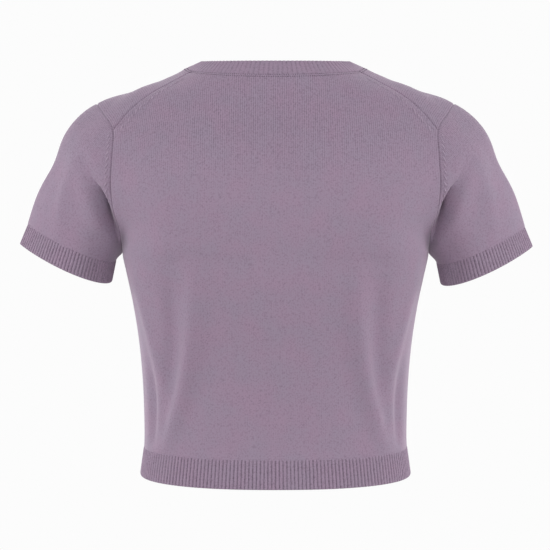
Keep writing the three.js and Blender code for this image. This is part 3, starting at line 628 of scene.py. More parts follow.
def fold_move(points, normals, fold, side):
    """How far one fold moves each point, on the left (side 1) or the right (side -1). Distances from its
    line are taken along the cloth, and cloth further above or below it than its reach stays as it is."""
    ends = np.array([[fold[axis + mark] for axis in "xyz"] for mark in "012"]) * (side, 1, 1)
    t = np.linspace(0, 1, FOLD_STEPS + 1)[:, None]
    line = ends[0] * (1 - t) ** 2 + ends[1] * 2 * t * (1 - t) + ends[2] * t**2
    margin = 4 * fold["width"] + FOLD_REACH
    near = np.all((points > line.min(0) - margin) & (points < line.max(0) + margin), axis=1)
    start, run = line[:-1], np.diff(line, axis=0)
    offset = points[near, None] - start
    share = np.clip((offset * run).sum(-1) / (run**2).sum(-1), 0, 1)
    offset -= share[..., None] * run
    nearest = np.linalg.norm(offset, axis=-1).argmin(1)
    rows = np.arange(len(nearest))
    offset = offset[rows, nearest]
    above = dot(offset, normals[near])
    beside = offset - above * normals[near]
    to_left = unit(np.cross(normals[near], run[nearest])) * side
    leans_here = dot(beside, to_left)[:, 0] * fold["lean"] > 0
    width = fold["width"] * np.where(leans_here, 1 - LEAN_STEEPNESS * abs(fold["lean"]), 1)
    below_reach = np.exp(-((above[:, 0] / FOLD_REACH) ** 4))
    along = (nearest + share[rows, nearest]) / FOLD_STEPS
    fade = np.sin(math.pi * np.clip(along, FOLD_ENDS, 1 - FOLD_ENDS)) ** FOLD_ROUNDNESS
    shape = fade * below_reach * np.exp(-0.5 * (np.linalg.norm(beside, axis=-1) / width) ** 2)
    height = (fold["depth"] * shape)[:, None]
    move = np.zeros_like(points)
    move[near] = normals[near] * height + to_left * np.abs(height) * fold["lean"] * LEAN_SHIFT
    return move


def nearest_seam(points, seams):
    """Distance from each point to the nearest seam, the way that the cloth faces there and its groove."""
    places_on_seams = np.vstack([line for line, _, _ in seams])
    facings = np.vstack([outward for _, outward, _ in seams])
    depths = np.concatenate([np.full(len(line), depth) for line, _, depth in seams])
    tree = KDTree(len(places_on_seams))
    for i, place in enumerate(places_on_seams):
        tree.insert(place, i)
    tree.balance()
    found = [tree.find(point)[1:] for point in points]
    ids, distance = np.array(found).T
    ids = ids.astype(int)
    return distance, facings[ids], depths[ids]


def both_sides(seam):
    line, outward = seam
    return [seam, (mirror(line), mirror(outward))]


def find_seams():
    """Every seam as a line of points a fraction of a millimetre apart, and the way that it faces."""
    fine = np.linspace(0, 1, 1201)
    turns = even_turns(HEM_SEAM_Z, -90, 270, fine)
    hem = trunk_point(HEM_SEAM_Z, turns)
    heights = CHEST_Z + (HEM_SEAM_Z - CHEST_Z) * fine[::2]
    side = trunk_point(heights, np.full(len(heights), 90))
    points, body, sleeve = armhole(ARMHOLE_LENGTH * fine)
    neck_points, neck_outward, _ = neck(NECK_LENGTH * fine)
    angles = 360 * fine
    return {
        "hem": [(hem, hem_facing(hem))],
        "side": both_sides((side, np.tile([1.0, 0, 0], (len(side), 1)))),
        "armhole": both_sides((points, unit(body + sleeve))),
        "shoulder": both_sides(shoulder_seam(fine[::4])),
        "neck": [(neck_points, neck_outward)],
        "cuff": [(cuff_ring(CUFF_SEAM, angles, side) * (side, 1, 1), cuff_facing(angles) * (side, 1, 1))
                 for side in (1, -1)],
    }


SEAMS = find_seams()


def seams_named(*names):
    return [(*seam, GROOVE_DEPTH[name]) for name in names for seam in SEAMS[name]]


def panel(yoke, middle_turn, flip, neck_at_middle):
    """A body panel from the hem rib to the shoulder seams, both halves."""
    chest = lengths(trunk_point(CHEST_Z, even_turns(CHEST_Z, 90, middle_turn, np.linspace(0, 1, 400))))[-1]
    columns = stations(chest, seam_at_start=True, seam_at_end=neck_at_middle)
    upper, shares = yoke(columns)
    level = int(np.searchsorted(shares, FRONT_ARMHOLE_SHARE - 1e-9)) if neck_at_middle else len(shares) - 1
    heights = HEM_SEAM_Z + (CHEST_Z - HEM_SEAM_Z) * stations(CHEST_Z - HEM_SEAM_Z, seam_at_start=True)
    turns = even_turns(CHEST_Z, 90, middle_turn, columns)
    lower = trunk_point(heights[:, None], turns[None, :])
    upper_knit = knit_lengths(upper, level)
    lower_knit = knit_lengths(lower, len(lower) - 1)
    lower_knit[..., 1] -= lower_knit[-1:, :, 1]
    halves = [(upper, upper_knit), (lower, lower_knit)]
    other = [(mirror(grid)[:, ::-1], (knit * (-1, 1))[:, ::-1]) for grid, knit in halves]
    sheet = Sheet(halves + other, flip)
    sheet.ease(CHEST_Z, 12, 16)
    return sheet


def sleeve(side):
    """A short set-in sleeve from the armhole to the cuff, side 1 on the left and -1 on the right."""
    knots = stations(ARMHOLE_LENGTH, SLEEVE_STEP, seam_at_start=True, seam_at_end=True) * ARMHOLE_LENGTH
    start, _, outward = armhole(knots)
    end = cuff_ring(CUFF_SEAM, cuff_angle(knots), side)
    axis = unit(places(CUFF)[CUFF_END] - places(CUFF)[CUFF_SEAM])
    start_pull = pull_along(start, end, outward) * SHOULDER_PULL[side]
    end_pull = np.linalg.norm(end - start, axis=1, keepdims=True) * axis * CUFF_PULL
    t = stations(120, SLEEVE_STEP, seam_at_start=True, seam_at_end=True)[:, None, None]
    lines = hermite(start, start_pull, end, end_pull, t)[::-1]
    knit = knit_lengths(lines, len(lines) - 1)
    shoulder = int(np.abs(knots - ARMHOLE_KNOT["shoulder point"]).argmin())
    knit[..., 0] -= knit[:, shoulder:shoulder + 1, 0]
    if side < 0:
        lines, knit = mirror(lines), knit * (-1, 1)
    return Sheet([(lines, knit)], flip=side > 0)


def band(seam_edge, free_edge, seam_facing, kind, closed):
    """A ribbed band between two lines of points, closed all round its section and without its ribs yet.
    Returns points, faces, knit lengths, end caps, and each point's rib, swell and outward direction."""
    columns, rows = len(seam_edge), len(BAND_SECTION["down"])
    across = unit(free_edge - seam_edge)
    if closed:
        along = np.roll(seam_edge, -1, axis=0) - np.roll(seam_edge, 1, axis=0)
    else:
        along = np.gradient(seam_edge, axis=0)
    own_facing = unit(np.cross(along, across))
    own_facing *= np.sign(dot(own_facing, seam_facing))
    height = np.linalg.norm(free_edge - seam_edge, axis=1).mean()
    outside = np.arange(rows) <= BAND_SECTION["down"].argmax()
    rise = np.where(outside, np.clip(BAND_SECTION["down"] / RIB_RISE[kind], 0, 1), 1)
    swell = BAND_SECTION["swell"] * rise**0.8
    down = BAND_SECTION["down"][None, :, None]
    out = (BAND_SECTION["out"] * rise**0.8)[None, :, None]
    near = np.exp(-((down * height / WALL_TURN) ** 2))
    outward = unit(own_facing[:, None] * (1 - near) + seam_facing[:, None] * near)
    dip = np.where(outside, GROOVE_DEPTH[kind] * np.exp(-((down[0, :, 0] * height / GROOVE_WIDTH) ** 2)), 0)
    out = np.broadcast_to(out[..., 0] - dip, (columns, rows)).copy()
    if not closed:
        run = lengths(seam_edge)
        from_end = np.minimum(run, run[-1] - run)[:, None]
        out -= outside * GROOVE_DEPTH["side"] * np.exp(-((from_end / GROOVE_WIDTH) ** 2))
    points = seam_edge[:, None] + (free_edge - seam_edge)[:, None] * down + outward * out[..., None]
    rib = np.linspace(0, RIBS[kind], columns + (1 if closed else 0))
    section = lengths(np.stack([BAND_SECTION["down"] * height, BAND_SECTION["out"]], 1))
    knit = np.stack(np.broadcast_arrays(rib[:, None] * RIB_WALE, section[None, :]), -1)
    knit = np.concatenate([knit, knit[:, -1:] + (0, BAND_THICKNESS)], 1)
    ids = np.arange(columns * rows).reshape(columns, rows)
    ids = np.concatenate([ids, ids[:1]]) if closed else ids
    ids = np.concatenate([ids, ids[:, :1]], 1)
    corners = [(slice(None, -1), slice(None, -1)), (slice(1, None), slice(None, -1)),
               (slice(1, None), slice(1, None)), (slice(None, -1), slice(1, None))]
    faces = np.stack([ids[corner] for corner in corners], -1).reshape(-1, 4)
    knit = np.stack([knit[corner] for corner in corners], -2).reshape(-1, 4, 2)
    flat = points.reshape(-1, 3)
    first = flat[faces[rows // 4]]
    if np.dot(np.cross(first[1] - first[0], first[3] - first[0]), own_facing[0]) < 0:
        faces, knit = faces[:, ::-1], knit[:, ::-1]
    caps = [] if closed else [ids[0, :-1], ids[-1, :-1]]
    rib_here = np.repeat(rib[:columns], rows)
    return flat, faces, knit.reshape(-1, 2), caps, rib_here, np.tile(swell, columns), outward.reshape(-1, 3)


def hem_band(start_turn, end_turn):
    columns = RIBS["hem"] * STEPS_IN_RIB + 1
    turns = even_turns(HEM_Z, start_turn, end_turn, np.linspace(0, 1, columns))
    seam_edge, free_edge = trunk_point(HEM_SEAM_Z, turns), trunk_point(HEM_Z, turns)
    return band(seam_edge, free_edge, hem_facing(seam_edge), "hem", closed=False)


def cuff_band(side):
    angles = even_cuff_angles(RIBS["cuff"] * STEPS_IN_RIB)
    seam_edge, free_edge = (cuff_ring(row, angles, side) * (side, 1, 1) for row in (CUFF_SEAM, CUFF_END))
    outward = cuff_facing(angles) * (side, 1, 1)
    return band(seam_edge, free_edge, outward, "cuff", closed=True)


def neck_band():
    columns = RIBS["neck"] * STEPS_IN_RIB
    seam_edge, outward, free_edge = neck(np.linspace(0, NECK_LENGTH, columns + 1)[:-1])
    return band(seam_edge, free_edge, outward, "neck", closed=True)


def mesh_from(name, points, faces, knit, materials, caps=()):
    """A mesh in metres with a UV map of wale and course lengths in millimetres."""
    mesh = bpy.data.meshes.new(name)
    polygons = [*faces.tolist(), *[list(cap) for cap in caps]]
    mesh.from_pydata((points * MM).tolist(), [], polygons)
    layer = mesh.uv_layers.new(name="knit")
    corners = np.zeros((len(mesh.loops), 2), np.float32)
    corners[:len(knit)] = knit
    layer.data.foreach_set("uv", corners.ravel())
    for material in materials:
        mesh.materials.append(material)
    mesh.validate()
    return mesh


def show(name, mesh):
    piece = bpy.data.objects.new(name, mesh)
    bpy.context.scene.collection.objects.link(piece)
    return piece


def add_node(tree, kind, links=(), **settings):
    """Adds a node. Links pairs an input's name or number with a value or with another node's output."""
    node = tree.nodes.new(kind)
    for name, value in settings.items():
        setattr(node, name, value)
    for socket, value in dict(links).items():
        if isinstance(value, bpy.types.NodeSocket):
            tree.links.new(value, node.inputs[socket])
        else:
            node.inputs[socket].default_value = value
    return node


def colour(code):
    """An sRGB hex value as linear red, green, blue and alpha."""
    channels = [int(code[i:i + 2], 16) / 255 for i in (1, 3, 5)]
    return [c / 12.92 if c <= 0.04045 else ((c + 0.055) / 1.055) ** 2.4 for c in channels] + [1.0]


def new_material(name):
    material = bpy.data.materials.new(name)
    material.use_nodes = True
    material.node_tree.nodes.clear()
    return material, material.node_tree


def stitch_pattern():
    """Node group: the height of plain knit stitches and how deep a place lies between them, from the knit
    lengths. Each wale is two legs of yarn that lean together in a V once a course."""
    tree = bpy.data.node_groups.new("knit_stitches", "ShaderNodeTree")
    for name, kind in (("Wale", "NodeSocketFloat"), ("Course", "NodeSocketFloat"), ("Lean", "NodeSocketFloat")):
        tree.interface.new_socket(name, in_out="INPUT", socket_type=kind)
    for name in ("Height", "Ridge"):
        tree.interface.new_socket(name, in_out="OUTPUT", socket_type="NodeSocketFloat")
    sizes = add_node(tree, "NodeGroupInput").outputs
    lengths_map = add_node(tree, "ShaderNodeUVMap", uv_map="knit").outputs[0]
    axes = add_node(tree, "ShaderNodeSeparateXYZ", {0: lengths_map}).outputs
    across = add_node(tree, "ShaderNodeMath", {0: axes[0], 1: sizes["Wale"]}, operation="DIVIDE").outputs[0]
    along = add_node(tree, "ShaderNodeMath", {0: axes[1], 1: sizes["Course"]}, operation="DIVIDE").outputs[0]
    # 0 in the middle of a wale, 1 between two wales
    centred = add_node(tree, "ShaderNodeMath", {0: across, 1: 0.5}, operation="PINGPONG").outputs[0]
    edge = add_node(tree, "ShaderNodeMath", {0: centred, 1: -2.0, 2: 1.0},
                    operation="MULTIPLY_ADD").outputs[0]
    lean = add_node(tree, "ShaderNodeMath", {0: edge, 1: sizes["Lean"], 2: along}, operation="MULTIPLY_ADD")
    beat = add_node(tree, "ShaderNodeMath", {0: lean.outputs[0], 1: math.pi}, operation="MULTIPLY").outputs[0]
    course = add_node(tree, "ShaderNodeMath", {0: beat}, operation="SINE").outputs[0]
    course = add_node(tree, "ShaderNodeMath", {0: course}, operation="ABSOLUTE").outputs[0]
    legs = add_node(tree, "ShaderNodeMath", {0: edge, 1: math.pi}, operation="MULTIPLY").outputs[0]
    legs = add_node(tree, "ShaderNodeMath", {0: legs}, operation="SINE").outputs[0]
    round_wale = add_node(tree, "ShaderNodeMath", {0: edge, 1: 2.5}, operation="POWER").outputs[0]
    ridge = add_node(tree, "ShaderNodeMath", {0: 1.0, 1: round_wale}, operation="SUBTRACT").outputs[0]
    yarn = add_node(tree, "ShaderNodeMath", {0: legs, 1: course}, operation="MULTIPLY").outputs[0]
    height = add_node(tree, "ShaderNodeMath", {0: yarn, 1: 0.55, 2: ridge},
                      operation="MULTIPLY_ADD").outputs[0]
    add_node(tree, "NodeGroupOutput", {"Height": height, "Ridge": ridge})
    return tree


def woollen(name, pattern, wale, course, lean, light, dark, rosy, bump, valley_shade_share, nap=1.0):
    """Fine wool knit: matt, with a soft nap that lights up at glancing angles. Light yarn on the raised wales
    with painted shade between them, and faint rosy and grey clouds where the dye took unevenly."""
    material, tree = new_material(name)
    stitches = add_node(tree, "ShaderNodeGroup", {}, node_tree=pattern)
    for socket, value in (("Wale", wale), ("Course", course), ("Lean", lean)):
        stitches.inputs[socket].default_value = value
    place = add_node(tree, "ShaderNodeTexCoord").outputs["Object"]
    clouds = add_node(tree, "ShaderNodeTexNoise",
                      {"Vector": place, "Scale": 1 / (24 * MM), "Detail": 3.0}).outputs[0]
    flecks = add_node(tree, "ShaderNodeTexNoise", {"Vector": place, "Scale": 1 / (1.7 * MM), "Detail": 4.0,
                                                   "Roughness": 0.7}).outputs[0]
    mixed = add_node(tree, "ShaderNodeMath", {0: clouds, 1: flecks}, operation="ADD").outputs[0]
    mottle = add_node(tree, "ShaderNodeMapRange", {0: mixed, 1: 0.8, 2: 1.2, 3: 0.0, 4: 1.0}).outputs[0]
    yarn = add_node(tree, "ShaderNodeMix", {0: mottle, 6: colour(light), 7: colour(rosy)},
                    data_type="RGBA").outputs[2]
    height = add_node(tree, "ShaderNodeSeparateXYZ", {0: place}).outputs[2]
    clear = add_node(tree, "ShaderNodeMapRange", {0: height, 1: NAP_BOTTOM * MM, 2: NAP_TOP * MM,
                                                  3: valley_shade_share * nap, 4: valley_shade_share}).outputs[0]
    # Painted shade: the dark colour is mixed in between the wales and ribs, more weakly where the nap hides
    # them. The flecks add random dark yarn to the same mix.
    valley_shade = add_node(tree, "ShaderNodeMath", {0: 1.0, 1: stitches.outputs["Ridge"]},
                      operation="SUBTRACT").outputs[0]
    grain = add_node(tree, "ShaderNodeMath", {0: flecks, 1: 0.5}, operation="SUBTRACT").outputs[0]
    grain = add_node(tree, "ShaderNodeMath", {0: grain, 1: GRAIN}, operation="MULTIPLY").outputs[0]
    depth = add_node(tree, "ShaderNodeMath", {0: valley_shade, 1: clear, 2: grain},
                     operation="MULTIPLY_ADD").outputs[0]
    base = add_node(tree, "ShaderNodeMix", {0: depth, 6: yarn, 7: colour(dark)}, data_type="RGBA").outputs[2]
    fuzz = add_node(tree, "ShaderNodeTexNoise",
                    {"Vector": place, "Scale": 1 / (0.9 * MM), "Detail": 2.0}).outputs[0]
    raised = add_node(tree, "ShaderNodeMath", {0: fuzz, 1: 0.5, 2: stitches.outputs["Height"]},
                      operation="MULTIPLY_ADD").outputs[0]
    crisp = add_node(tree, "ShaderNodeMath", {0: clear, 1: bump / valley_shade_share},
                     operation="MULTIPLY").outputs[0]
    relief = add_node(tree, "ShaderNodeBump",
                      {"Strength": crisp, "Distance": 0.3 * MM, "Height": raised}).outputs[0]
    surface = add_node(tree, "ShaderNodeBsdfPrincipled", {
        "Base Color": base, "Roughness": 0.92, "Specular IOR Level": 0.2, "Sheen Weight": 0.55,
        "Sheen Roughness": 0.4, "Sheen Tint": colour("#e6dbe8"), "Normal": relief})
    add_node(tree, "ShaderNodeOutputMaterial", {0: surface.outputs[0]})
    return material


def plain_finish(name, code, roughness):
    material, tree = new_material(name)
    place = add_node(tree, "ShaderNodeTexCoord").outputs["Object"]
    grain = add_node(tree, "ShaderNodeTexNoise", {"Vector": place, "Scale": 40.0}).outputs[0]
    relief = add_node(tree, "ShaderNodeBump", {"Strength": 0.05, "Distance": MM, "Height": grain}).outputs[0]
    surface = add_node(tree, "ShaderNodeBsdfPrincipled", {
        "Base Color": colour(code), "Roughness": roughness, "Normal": relief})
    add_node(tree, "ShaderNodeOutputMaterial", {0: surface.outputs[0]})
    return material


STITCHES = stitch_pattern()
# The second colour of each wool is painted shade between its wales or ribs, and also the colour of its dark
# flecks.
JERSEY = woollen("fine_wool_jersey", STITCHES, JERSEY_WALE, JERSEY_COURSE, 0.9,
                 "#8f8092", "#6b5d6f", "#947e92", 0.65, 0.74, nap=0.17)
PURL_SIDE = woollen("fine_wool_purl_side", STITCHES, JERSEY_COURSE * 1.3, JERSEY_WALE, 0.5,
                    "#837485", "#65586a", "#867385", 0.8, 0.5)
RIB = woollen("fine_wool_rib", STITCHES, RIB_WALE, RIB_COURSE, 0.9,
              "#908092", "#655768", "#937e92", 0.5, 0.6)
NECK_RIB = woollen("fine_wool_neck_rib", STITCHES, RIB_WALE, RIB_COURSE, 0.9,
                   "#8a7a8c", "#655768", "#8f7a8e", 0.4, 0.42)
# Painted highlight: the yarn of the fashioning marks is lighter than the cloth, standing in for the light that
# catches the raised stitches. Its second colour is painted shade between its stitches, like the others.
MARK_YARN_PAINTED_LIGHT = woollen("mark_yarn_painted_highlight", STITCHES, 0.8, 0.8, 0.5, "#9b8b9e", "#7c6e80", "#9f8b9d", 0.3, 0.3)


# Painted shade: a dark yarn for the linking stitches, which draws the shadow in the groove of the neckband
# seam.
LINKING_SHADE_YARN = woollen("neck_seam_painted_shade_yarn", STITCHES, 0.8, 0.8, 0.5,
                       "#55485a", "#4a3e4f", "#574858", 0.3, 0.3)


def new_geometry_tree(name, inputs):
    """A geometry tree with a geometry input, named size inputs and a geometry output."""
    tree = bpy.data.node_groups.new(name, "GeometryNodeTree")
    tree.interface.new_socket("Geometry", in_out="INPUT", socket_type="NodeSocketGeometry")
    for label, kind, value in inputs:
        tree.interface.new_socket(label, in_out="INPUT", socket_type=kind).default_value = value
    tree.interface.new_socket("Geometry", in_out="OUTPUT", socket_type="NodeSocketGeometry")
    return tree


def finish_tree(tree, geometry, material):
    whole = add_node(tree, "GeometryNodeRealizeInstances", {0: geometry}).outputs[0]
    painted = add_node(tree, "GeometryNodeSetMaterial", {"Geometry": whole, "Material": material}).outputs[0]
    add_node(tree, "NodeGroupOutput", {0: painted})
    return tree


def rib_tree():
    """Raises ribs on a band: each point moves outwards by its swell, the ribs' height and a rounded wave."""
    tree = new_geometry_tree("raise_ribs", [("Rib Height", "NodeSocketFloat", MM),
                                            ("Roundness", "NodeSocketFloat", 0.7),
                                            ("Material", "NodeSocketMaterial", RIB)])
    sizes = add_node(tree, "NodeGroupInput").outputs
    rib = add_node(tree, "GeometryNodeInputNamedAttribute", {"Name": "rib"}, data_type="FLOAT").outputs[0]
    swell = add_node(tree, "GeometryNodeInputNamedAttribute", {"Name": "swell"}, data_type="FLOAT").outputs[0]
    outward = add_node(tree, "GeometryNodeInputNamedAttribute", {"Name": "outward"},
                       data_type="FLOAT_VECTOR").outputs[0]
    turn = add_node(tree, "ShaderNodeMath", {0: rib, 1: math.pi}, operation="MULTIPLY").outputs[0]
    wave = add_node(tree, "ShaderNodeMath", {0: turn}, operation="SINE").outputs[0]
    wave = add_node(tree, "ShaderNodeMath", {0: wave}, operation="ABSOLUTE").outputs[0]
    wave = add_node(tree, "ShaderNodeMath", {0: wave, 1: sizes["Roundness"]}, operation="POWER").outputs[0]
    raised = add_node(tree, "ShaderNodeMath", {0: wave, 1: swell}, operation="MULTIPLY").outputs[0]
    raised = add_node(tree, "ShaderNodeMath", {0: raised, 1: sizes["Rib Height"]},
                      operation="MULTIPLY").outputs[0]
    shift = add_node(tree, "ShaderNodeVectorMath", {0: outward, "Scale": raised},
                     operation="SCALE").outputs[0]
    moved = add_node(tree, "GeometryNodeSetPosition",
                     {"Geometry": sizes["Geometry"], "Offset": shift}).outputs[0]
    return finish_tree(tree, moved, sizes["Material"])


def stitch_tree():
    """Sets a small rounded stitch on each point, turned by the point's along and outward directions."""
    tree = new_geometry_tree("set_stitches", [("Length", "NodeSocketFloat", 1.7 * MM),
                                              ("Width", "NodeSocketFloat", 0.9 * MM),
                                              ("Height", "NodeSocketFloat", 0.7 * MM),
                                              ("Unevenness", "NodeSocketFloat", 0.18),
                                              ("Seed", "NodeSocketInt", 4),
                                              ("Material", "NodeSocketMaterial", MARK_YARN_PAINTED_LIGHT)])
    sizes = add_node(tree, "NodeGroupInput").outputs
    along = add_node(tree, "GeometryNodeInputNamedAttribute", {"Name": "along"},
                     data_type="FLOAT_VECTOR").outputs[0]
    outward = add_node(tree, "GeometryNodeInputNamedAttribute", {"Name": "outward"},
                       data_type="FLOAT_VECTOR").outputs[0]
    turn = add_node(tree, "FunctionNodeAxesToRotation", {0: outward, 1: along},
                    primary_axis="Z", secondary_axis="X").outputs[0]
    loop = add_node(tree, "GeometryNodeMeshUVSphere", {"Segments": 8, "Rings": 5, "Radius": 0.5}).outputs[0]
    shape = add_node(tree, "ShaderNodeCombineXYZ", {0: sizes["Length"], 1: sizes["Width"],
                                                    2: sizes["Height"]}).outputs[0]
    low = add_node(tree, "ShaderNodeMath", {0: 1.0, 1: sizes["Unevenness"]}, operation="SUBTRACT").outputs[0]
    high = add_node(tree, "ShaderNodeMath", {0: 1.0, 1: sizes["Unevenness"]}, operation="ADD").outputs[0]
    uneven = add_node(tree, "FunctionNodeRandomValue", {2: low, 3: high, "Seed": sizes["Seed"]},
                      data_type="FLOAT").outputs[1]
    scale = add_node(tree, "ShaderNodeVectorMath", {0: shape, "Scale": uneven}, operation="SCALE").outputs[0]
    placed = add_node(tree, "GeometryNodeInstanceOnPoints", {
        "Points": sizes["Geometry"], "Instance": loop, "Rotation": turn, "Scale": scale}).outputs[0]
    smoothed = add_node(tree, "GeometryNodeRealizeInstances", {0: placed}).outputs[0]
    smoothed = add_node(tree, "GeometryNodeSetShadeSmooth", {"Geometry": smoothed}).outputs[0]
    return finish_tree(tree, smoothed, sizes["Material"])


RAISE_RIBS = rib_tree()
SET_STITCHES = stitch_tree()


def apply_tree(name, mesh, tree, **values):
    """The plain mesh that a geometry tree makes of this one, with some of its named inputs set."""
    source = show(name + "_source", mesh)
    modifier = source.modifiers.new(tree.name, "NODES")
    modifier.node_group = tree
    for item in tree.interface.items_tree:
        if item.in_out == "INPUT" and item.name in values:
            modifier[item.identifier] = values[item.name]
    evaluated = source.evaluated_get(bpy.context.evaluated_depsgraph_get())
    made = bpy.data.meshes.new_from_object(evaluated)
    made.name = name
    source.modifiers.clear()
    bpy.data.objects.remove(source)
    return made


def point_attribute(mesh, name, kind, values):
    attribute = mesh.attributes.new(name, kind, "POINT")
    attribute.data.foreach_set("vector" if kind == "FLOAT_VECTOR" else "value",
                               np.asarray(values, np.float32).ravel())


def ribbed_piece(name, made, kind, node):
    points, faces, knit, caps, rib, swell, outward = made
    material = NECK_RIB if kind == "neck" else RIB
    mesh = mesh_from(name, points, faces, knit, [material], caps)
    point_attribute(mesh, "rib", "FLOAT", rib)
    point_attribute(mesh, "swell", "FLOAT", swell)
    point_attribute(mesh, "outward", "FLOAT_VECTOR", outward)
    mesh = apply_tree(name, mesh, RAISE_RIBS, **{"Rib Height": RIB_HEIGHT[kind] * MM, "Material": material})
    for attribute in ("rib", "swell", "outward"):
        mesh.attributes.remove(mesh.attributes[attribute])
    mesh.shade_smooth()
    piece = show(name, mesh)
    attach(piece, "root")
    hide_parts(node)
    return piece



def jersey_piece(name, sheet, node):
    points, faces, knit, inside = sheet.shell(JERSEY_THICKNESS)
    mesh = mesh_from(name, points, faces, knit, [JERSEY, PURL_SIDE])
    mesh.polygons.foreach_set("material_index", inside.astype(np.int32))
    mesh.shade_smooth()
    mesh.set_sharp_from_angle(angle=math.radians(SHARP_EDGE))
    piece = show(name, mesh)
    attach(piece, "root")
    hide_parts(node)
    return piece


def stitch_row(cloth, seam, spacing, start, end, beside, slant):
    """Places for stitches beside a seam: points on the cloth, their along and their outward directions.
    Beside is how far to the left of the seam's run they lie, and slant turns them from it, in degrees."""
    line, facings = seam
    run = lengths(line)
    at = np.arange(start, min(end, run[-1]), spacing)
    points = np.stack([np.interp(at, run, line[:, i]) for i in range(3)], 1)
    tangent = unit(np.stack([np.interp(at, run, np.gradient(line, axis=0)[:, i]) for i in range(3)], 1))
    facings = unit(np.stack([np.interp(at, run, facings[:, i]) for i in range(3)], 1))
    sideways = unit(np.cross(facings, tangent))
    found = [cloth.find_nearest(point) for point in points + sideways * beside]
    places_found = np.array([list(f[0]) for f in found])
    outward = np.array([list(f[1]) for f in found])
    turn = math.radians(slant)
    across = unit(np.cross(outward, tangent))
    return places_found, unit(tangent * math.cos(turn) + across * math.sin(turn)), outward


def cloth_tree(*sheets):
    """The outer faces of these sheets, ready to be searched for the nearest place."""
    starts = np.cumsum([0] + [len(sheet.skin) for sheet in sheets])
    points = np.vstack([sheet.skin for sheet in sheets])
    faces = np.vstack([sheet.faces + start for sheet, start in zip(sheets, starts)])
    return BVHTree.FromPolygons(points.tolist(), faces.tolist())


def stitch_piece(name, rows, material, **sizes):
    points, along, outward = (np.vstack(column) for column in zip(*rows))
    mesh = bpy.data.meshes.new(name)
    mesh.from_pydata((points * MM).tolist(), [], [])
    point_attribute(mesh, "along", "FLOAT_VECTOR", along)
    point_attribute(mesh, "outward", "FLOAT_VECTOR", outward)
    mesh = apply_tree(name, mesh, SET_STITCHES, Material=material, **sizes)
    for attribute in ("along", "outward"):
        mesh.attributes.remove(mesh.attributes[attribute])
    mesh.uv_layers.new(name="knit")
    piece = show(name, mesh)
    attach(piece, "root")
    return piece


def folded(sheet, folds, clearance, seam_names):
    """A sheet with its soft folds and its seam grooves."""
    distance, _, _ = nearest_seam(sheet.points, seams_named(*seam_names))
    sheet.fold(folds, distance, clearance)
    sheet.dress_seams(seams_named(*seam_names))
    return sheet


back = folded(panel(back_yoke, 0, False, False), BODY_FOLDS, FOLD_CLEARANCE["body"], PANEL_SEAMS)
front = folded(panel(front_yoke, 180, True, True), BODY_FOLDS, FOLD_CLEARANCE["body"], PANEL_SEAMS)
sleeves = {side: folded(sleeve(side), SLEEVE_FOLDS, FOLD_CLEARANCE["sleeve"], SLEEVE_SEAMS)
           for side in (1, -1)}

jersey_back = jersey_piece("jersey_back", back, "back_panel")
jersey_front = jersey_piece("jersey_front", front, "front_panel")
jersey_sleeve_left = jersey_piece("jersey_sleeve_left", sleeves[1], "sleeve_left")
jersey_sleeve_right = jersey_piece("jersey_sleeve_right", sleeves[-1], "sleeve_right")
rib_neckband = ribbed_piece("rib_neckband", neck_band(), "neck", "neckband")
rib_cuff_left = ribbed_piece("rib_cuff_left", cuff_band(1), "cuff", "cuff_left")
rib_cuff_right = ribbed_piece("rib_cuff_right", cuff_band(-1), "cuff", "cuff_right")
rib_hem_back = ribbed_piece("rib_hem_back", hem_band(-90, 90), "hem", "hem_rib_back")
rib_hem_front = ribbed_piece("rib_hem_front", hem_band(90, 270), "hem", "hem_rib_front")


def fashioning_marks(side):
    """The slanted stitches where the panels were narrowed on the machine, on one side of the body."""
    cloths = {"back": cloth_tree(back), "front": cloth_tree(front), "sleeve": cloth_tree(sleeves[side])}
    rows = []
    for cloth, seam, start, end, spacing, beside, slant in MARK_ROWS:
        line = SEAMS[seam][0 if side > 0 else 1]
        rows.append(stitch_row(cloths[cloth], line, spacing, start, end, beside * side, slant * side))
    return rows


def linking_shade_rows():
    """The rows of small sunk stitches that link the neckband to the panels, all round below its seam. Their
    yarn is dark, painted shade along the seam.
    """
    cloth = cloth_tree(back, front)
    return [stitch_row(cloth, SEAMS["neck"][0], 2.2, start, NECK_LENGTH - 1, below, 0)
            for start, below in ((0, -0.4), (1.1, -2.9))]


# The fashioning marks are raised stitches in the lighter yarn, a painted highlight on them.
marks_left = stitch_piece("fashioning_marks_left", fashioning_marks(1), MARK_YARN_PAINTED_LIGHT, Length=6.4 * MM, Width=1.8 * MM,
                          Height=1.5 * MM)
marks_right = stitch_piece("fashioning_marks_right", fashioning_marks(-1), MARK_YARN_PAINTED_LIGHT, Length=6.4 * MM,
                           Width=1.8 * MM, Height=1.5 * MM)
# The linking stitches are in the dark yarn: painted shade along the neckband seam.
linking = stitch_piece("neckband_linking_painted_shade", linking_shade_rows(), LINKING_SHADE_YARN, Length=1.3 * MM, Width=1.0 * MM,
                       Height=0.5 * MM)


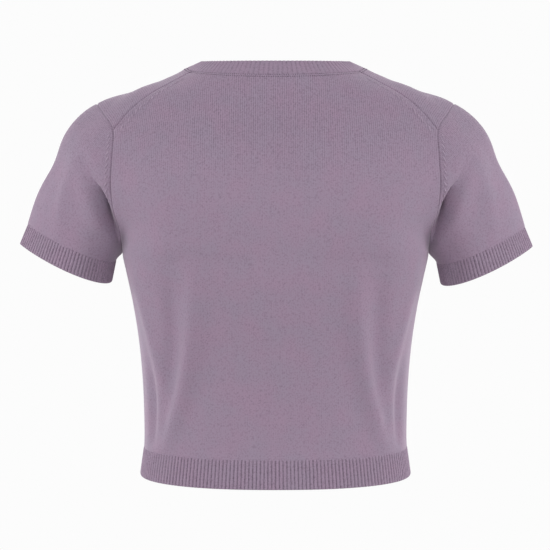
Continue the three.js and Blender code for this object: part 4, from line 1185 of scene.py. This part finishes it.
def stage():
    """A plain pale floor well below the garment, white surroundings and soft studio light."""
    scene = bpy.context.scene
    floor_height = -0.86
    mesh = bpy.data.meshes.new("floor")
    half = 1.5
    mesh.from_pydata([(-half, -half, floor_height), (half, -half, floor_height),
                      (half, half, floor_height), (-half, half, floor_height)], [], [(0, 1, 2, 3)])
    mesh.materials.append(plain_finish("pale_matt_floor", "#f2f1f1", 0.8))
    show("floor", mesh)

    world = bpy.data.worlds.new("white_surroundings")
    world.use_nodes = True
    world.node_tree.nodes.clear()
    # The backdrop is seen white, and only a part of it lights the cloth, so that deep folds stay dark
    tree = world.node_tree
    seen = add_node(tree, "ShaderNodeBackground", {"Color": colour("#fcfcfc"), "Strength": 1.0}).outputs[0]
    fill = add_node(tree, "ShaderNodeBackground",
                    {"Color": colour("#fcfcfc"), "Strength": FILL_LIGHT}).outputs[0]
    direct = add_node(tree, "ShaderNodeLightPath").outputs["Is Camera Ray"]
    both = add_node(tree, "ShaderNodeMixShader", {0: direct, 1: fill, 2: seen}).outputs[0]
    add_node(tree, "ShaderNodeOutputWorld", {0: both})
    scene.world = world
    scene.view_settings.view_transform = "Standard"

    lights = table(
        "heading height distance width power",
        (18, 0.8, 2.2, 1.5, 33),
        (162, 0.8, 2.2, 1.5, 33),
        (90, 0.7, 2.2, 1.5, 18.5),
        (90, 2.4, 1.0, 1.5, 7),
        (-42, 0.45, 2.2, 1.5, 20),
        (-138, 0.45, 2.2, 1.5, 20),
    )
    aim = Vector((0, 0, -0.2))
    for i in range(len(lights["power"])):
        heading = math.radians(lights["heading"][i])
        data = bpy.data.lights.new("softbox", "AREA")
        data.shape = "SQUARE"
        data.size = lights["width"][i]
        data.energy = lights["power"][i]
        lamp = bpy.data.objects.new("softbox", data)
        distance = lights["distance"][i]
        lamp.location = (distance * math.cos(heading), distance * math.sin(heading), lights["height"][i])
        lamp.rotation_euler = (aim - lamp.location).to_track_quat("-Z", "Y").to_euler()
        scene.collection.objects.link(lamp)


def camera():
    """Behind the garment and a little above it, as the photograph was taken: 2 m away, looking down."""
    pitch, distance, aim = math.radians(5.5), 2.0, Vector((0.0005, 0, -0.2074))
    data = bpy.data.cameras.new("camera")
    data.sensor_width = 36
    data.lens = 131.3
    eye = bpy.data.objects.new("camera", data)
    eye.location = aim + Vector((0, math.cos(pitch), math.sin(pitch))) * distance
    eye.rotation_euler = (aim - eye.location).to_track_quat("-Z", "Y").to_euler()
    bpy.context.scene.collection.objects.link(eye)
    bpy.context.scene.camera = eye


camera()
stage()
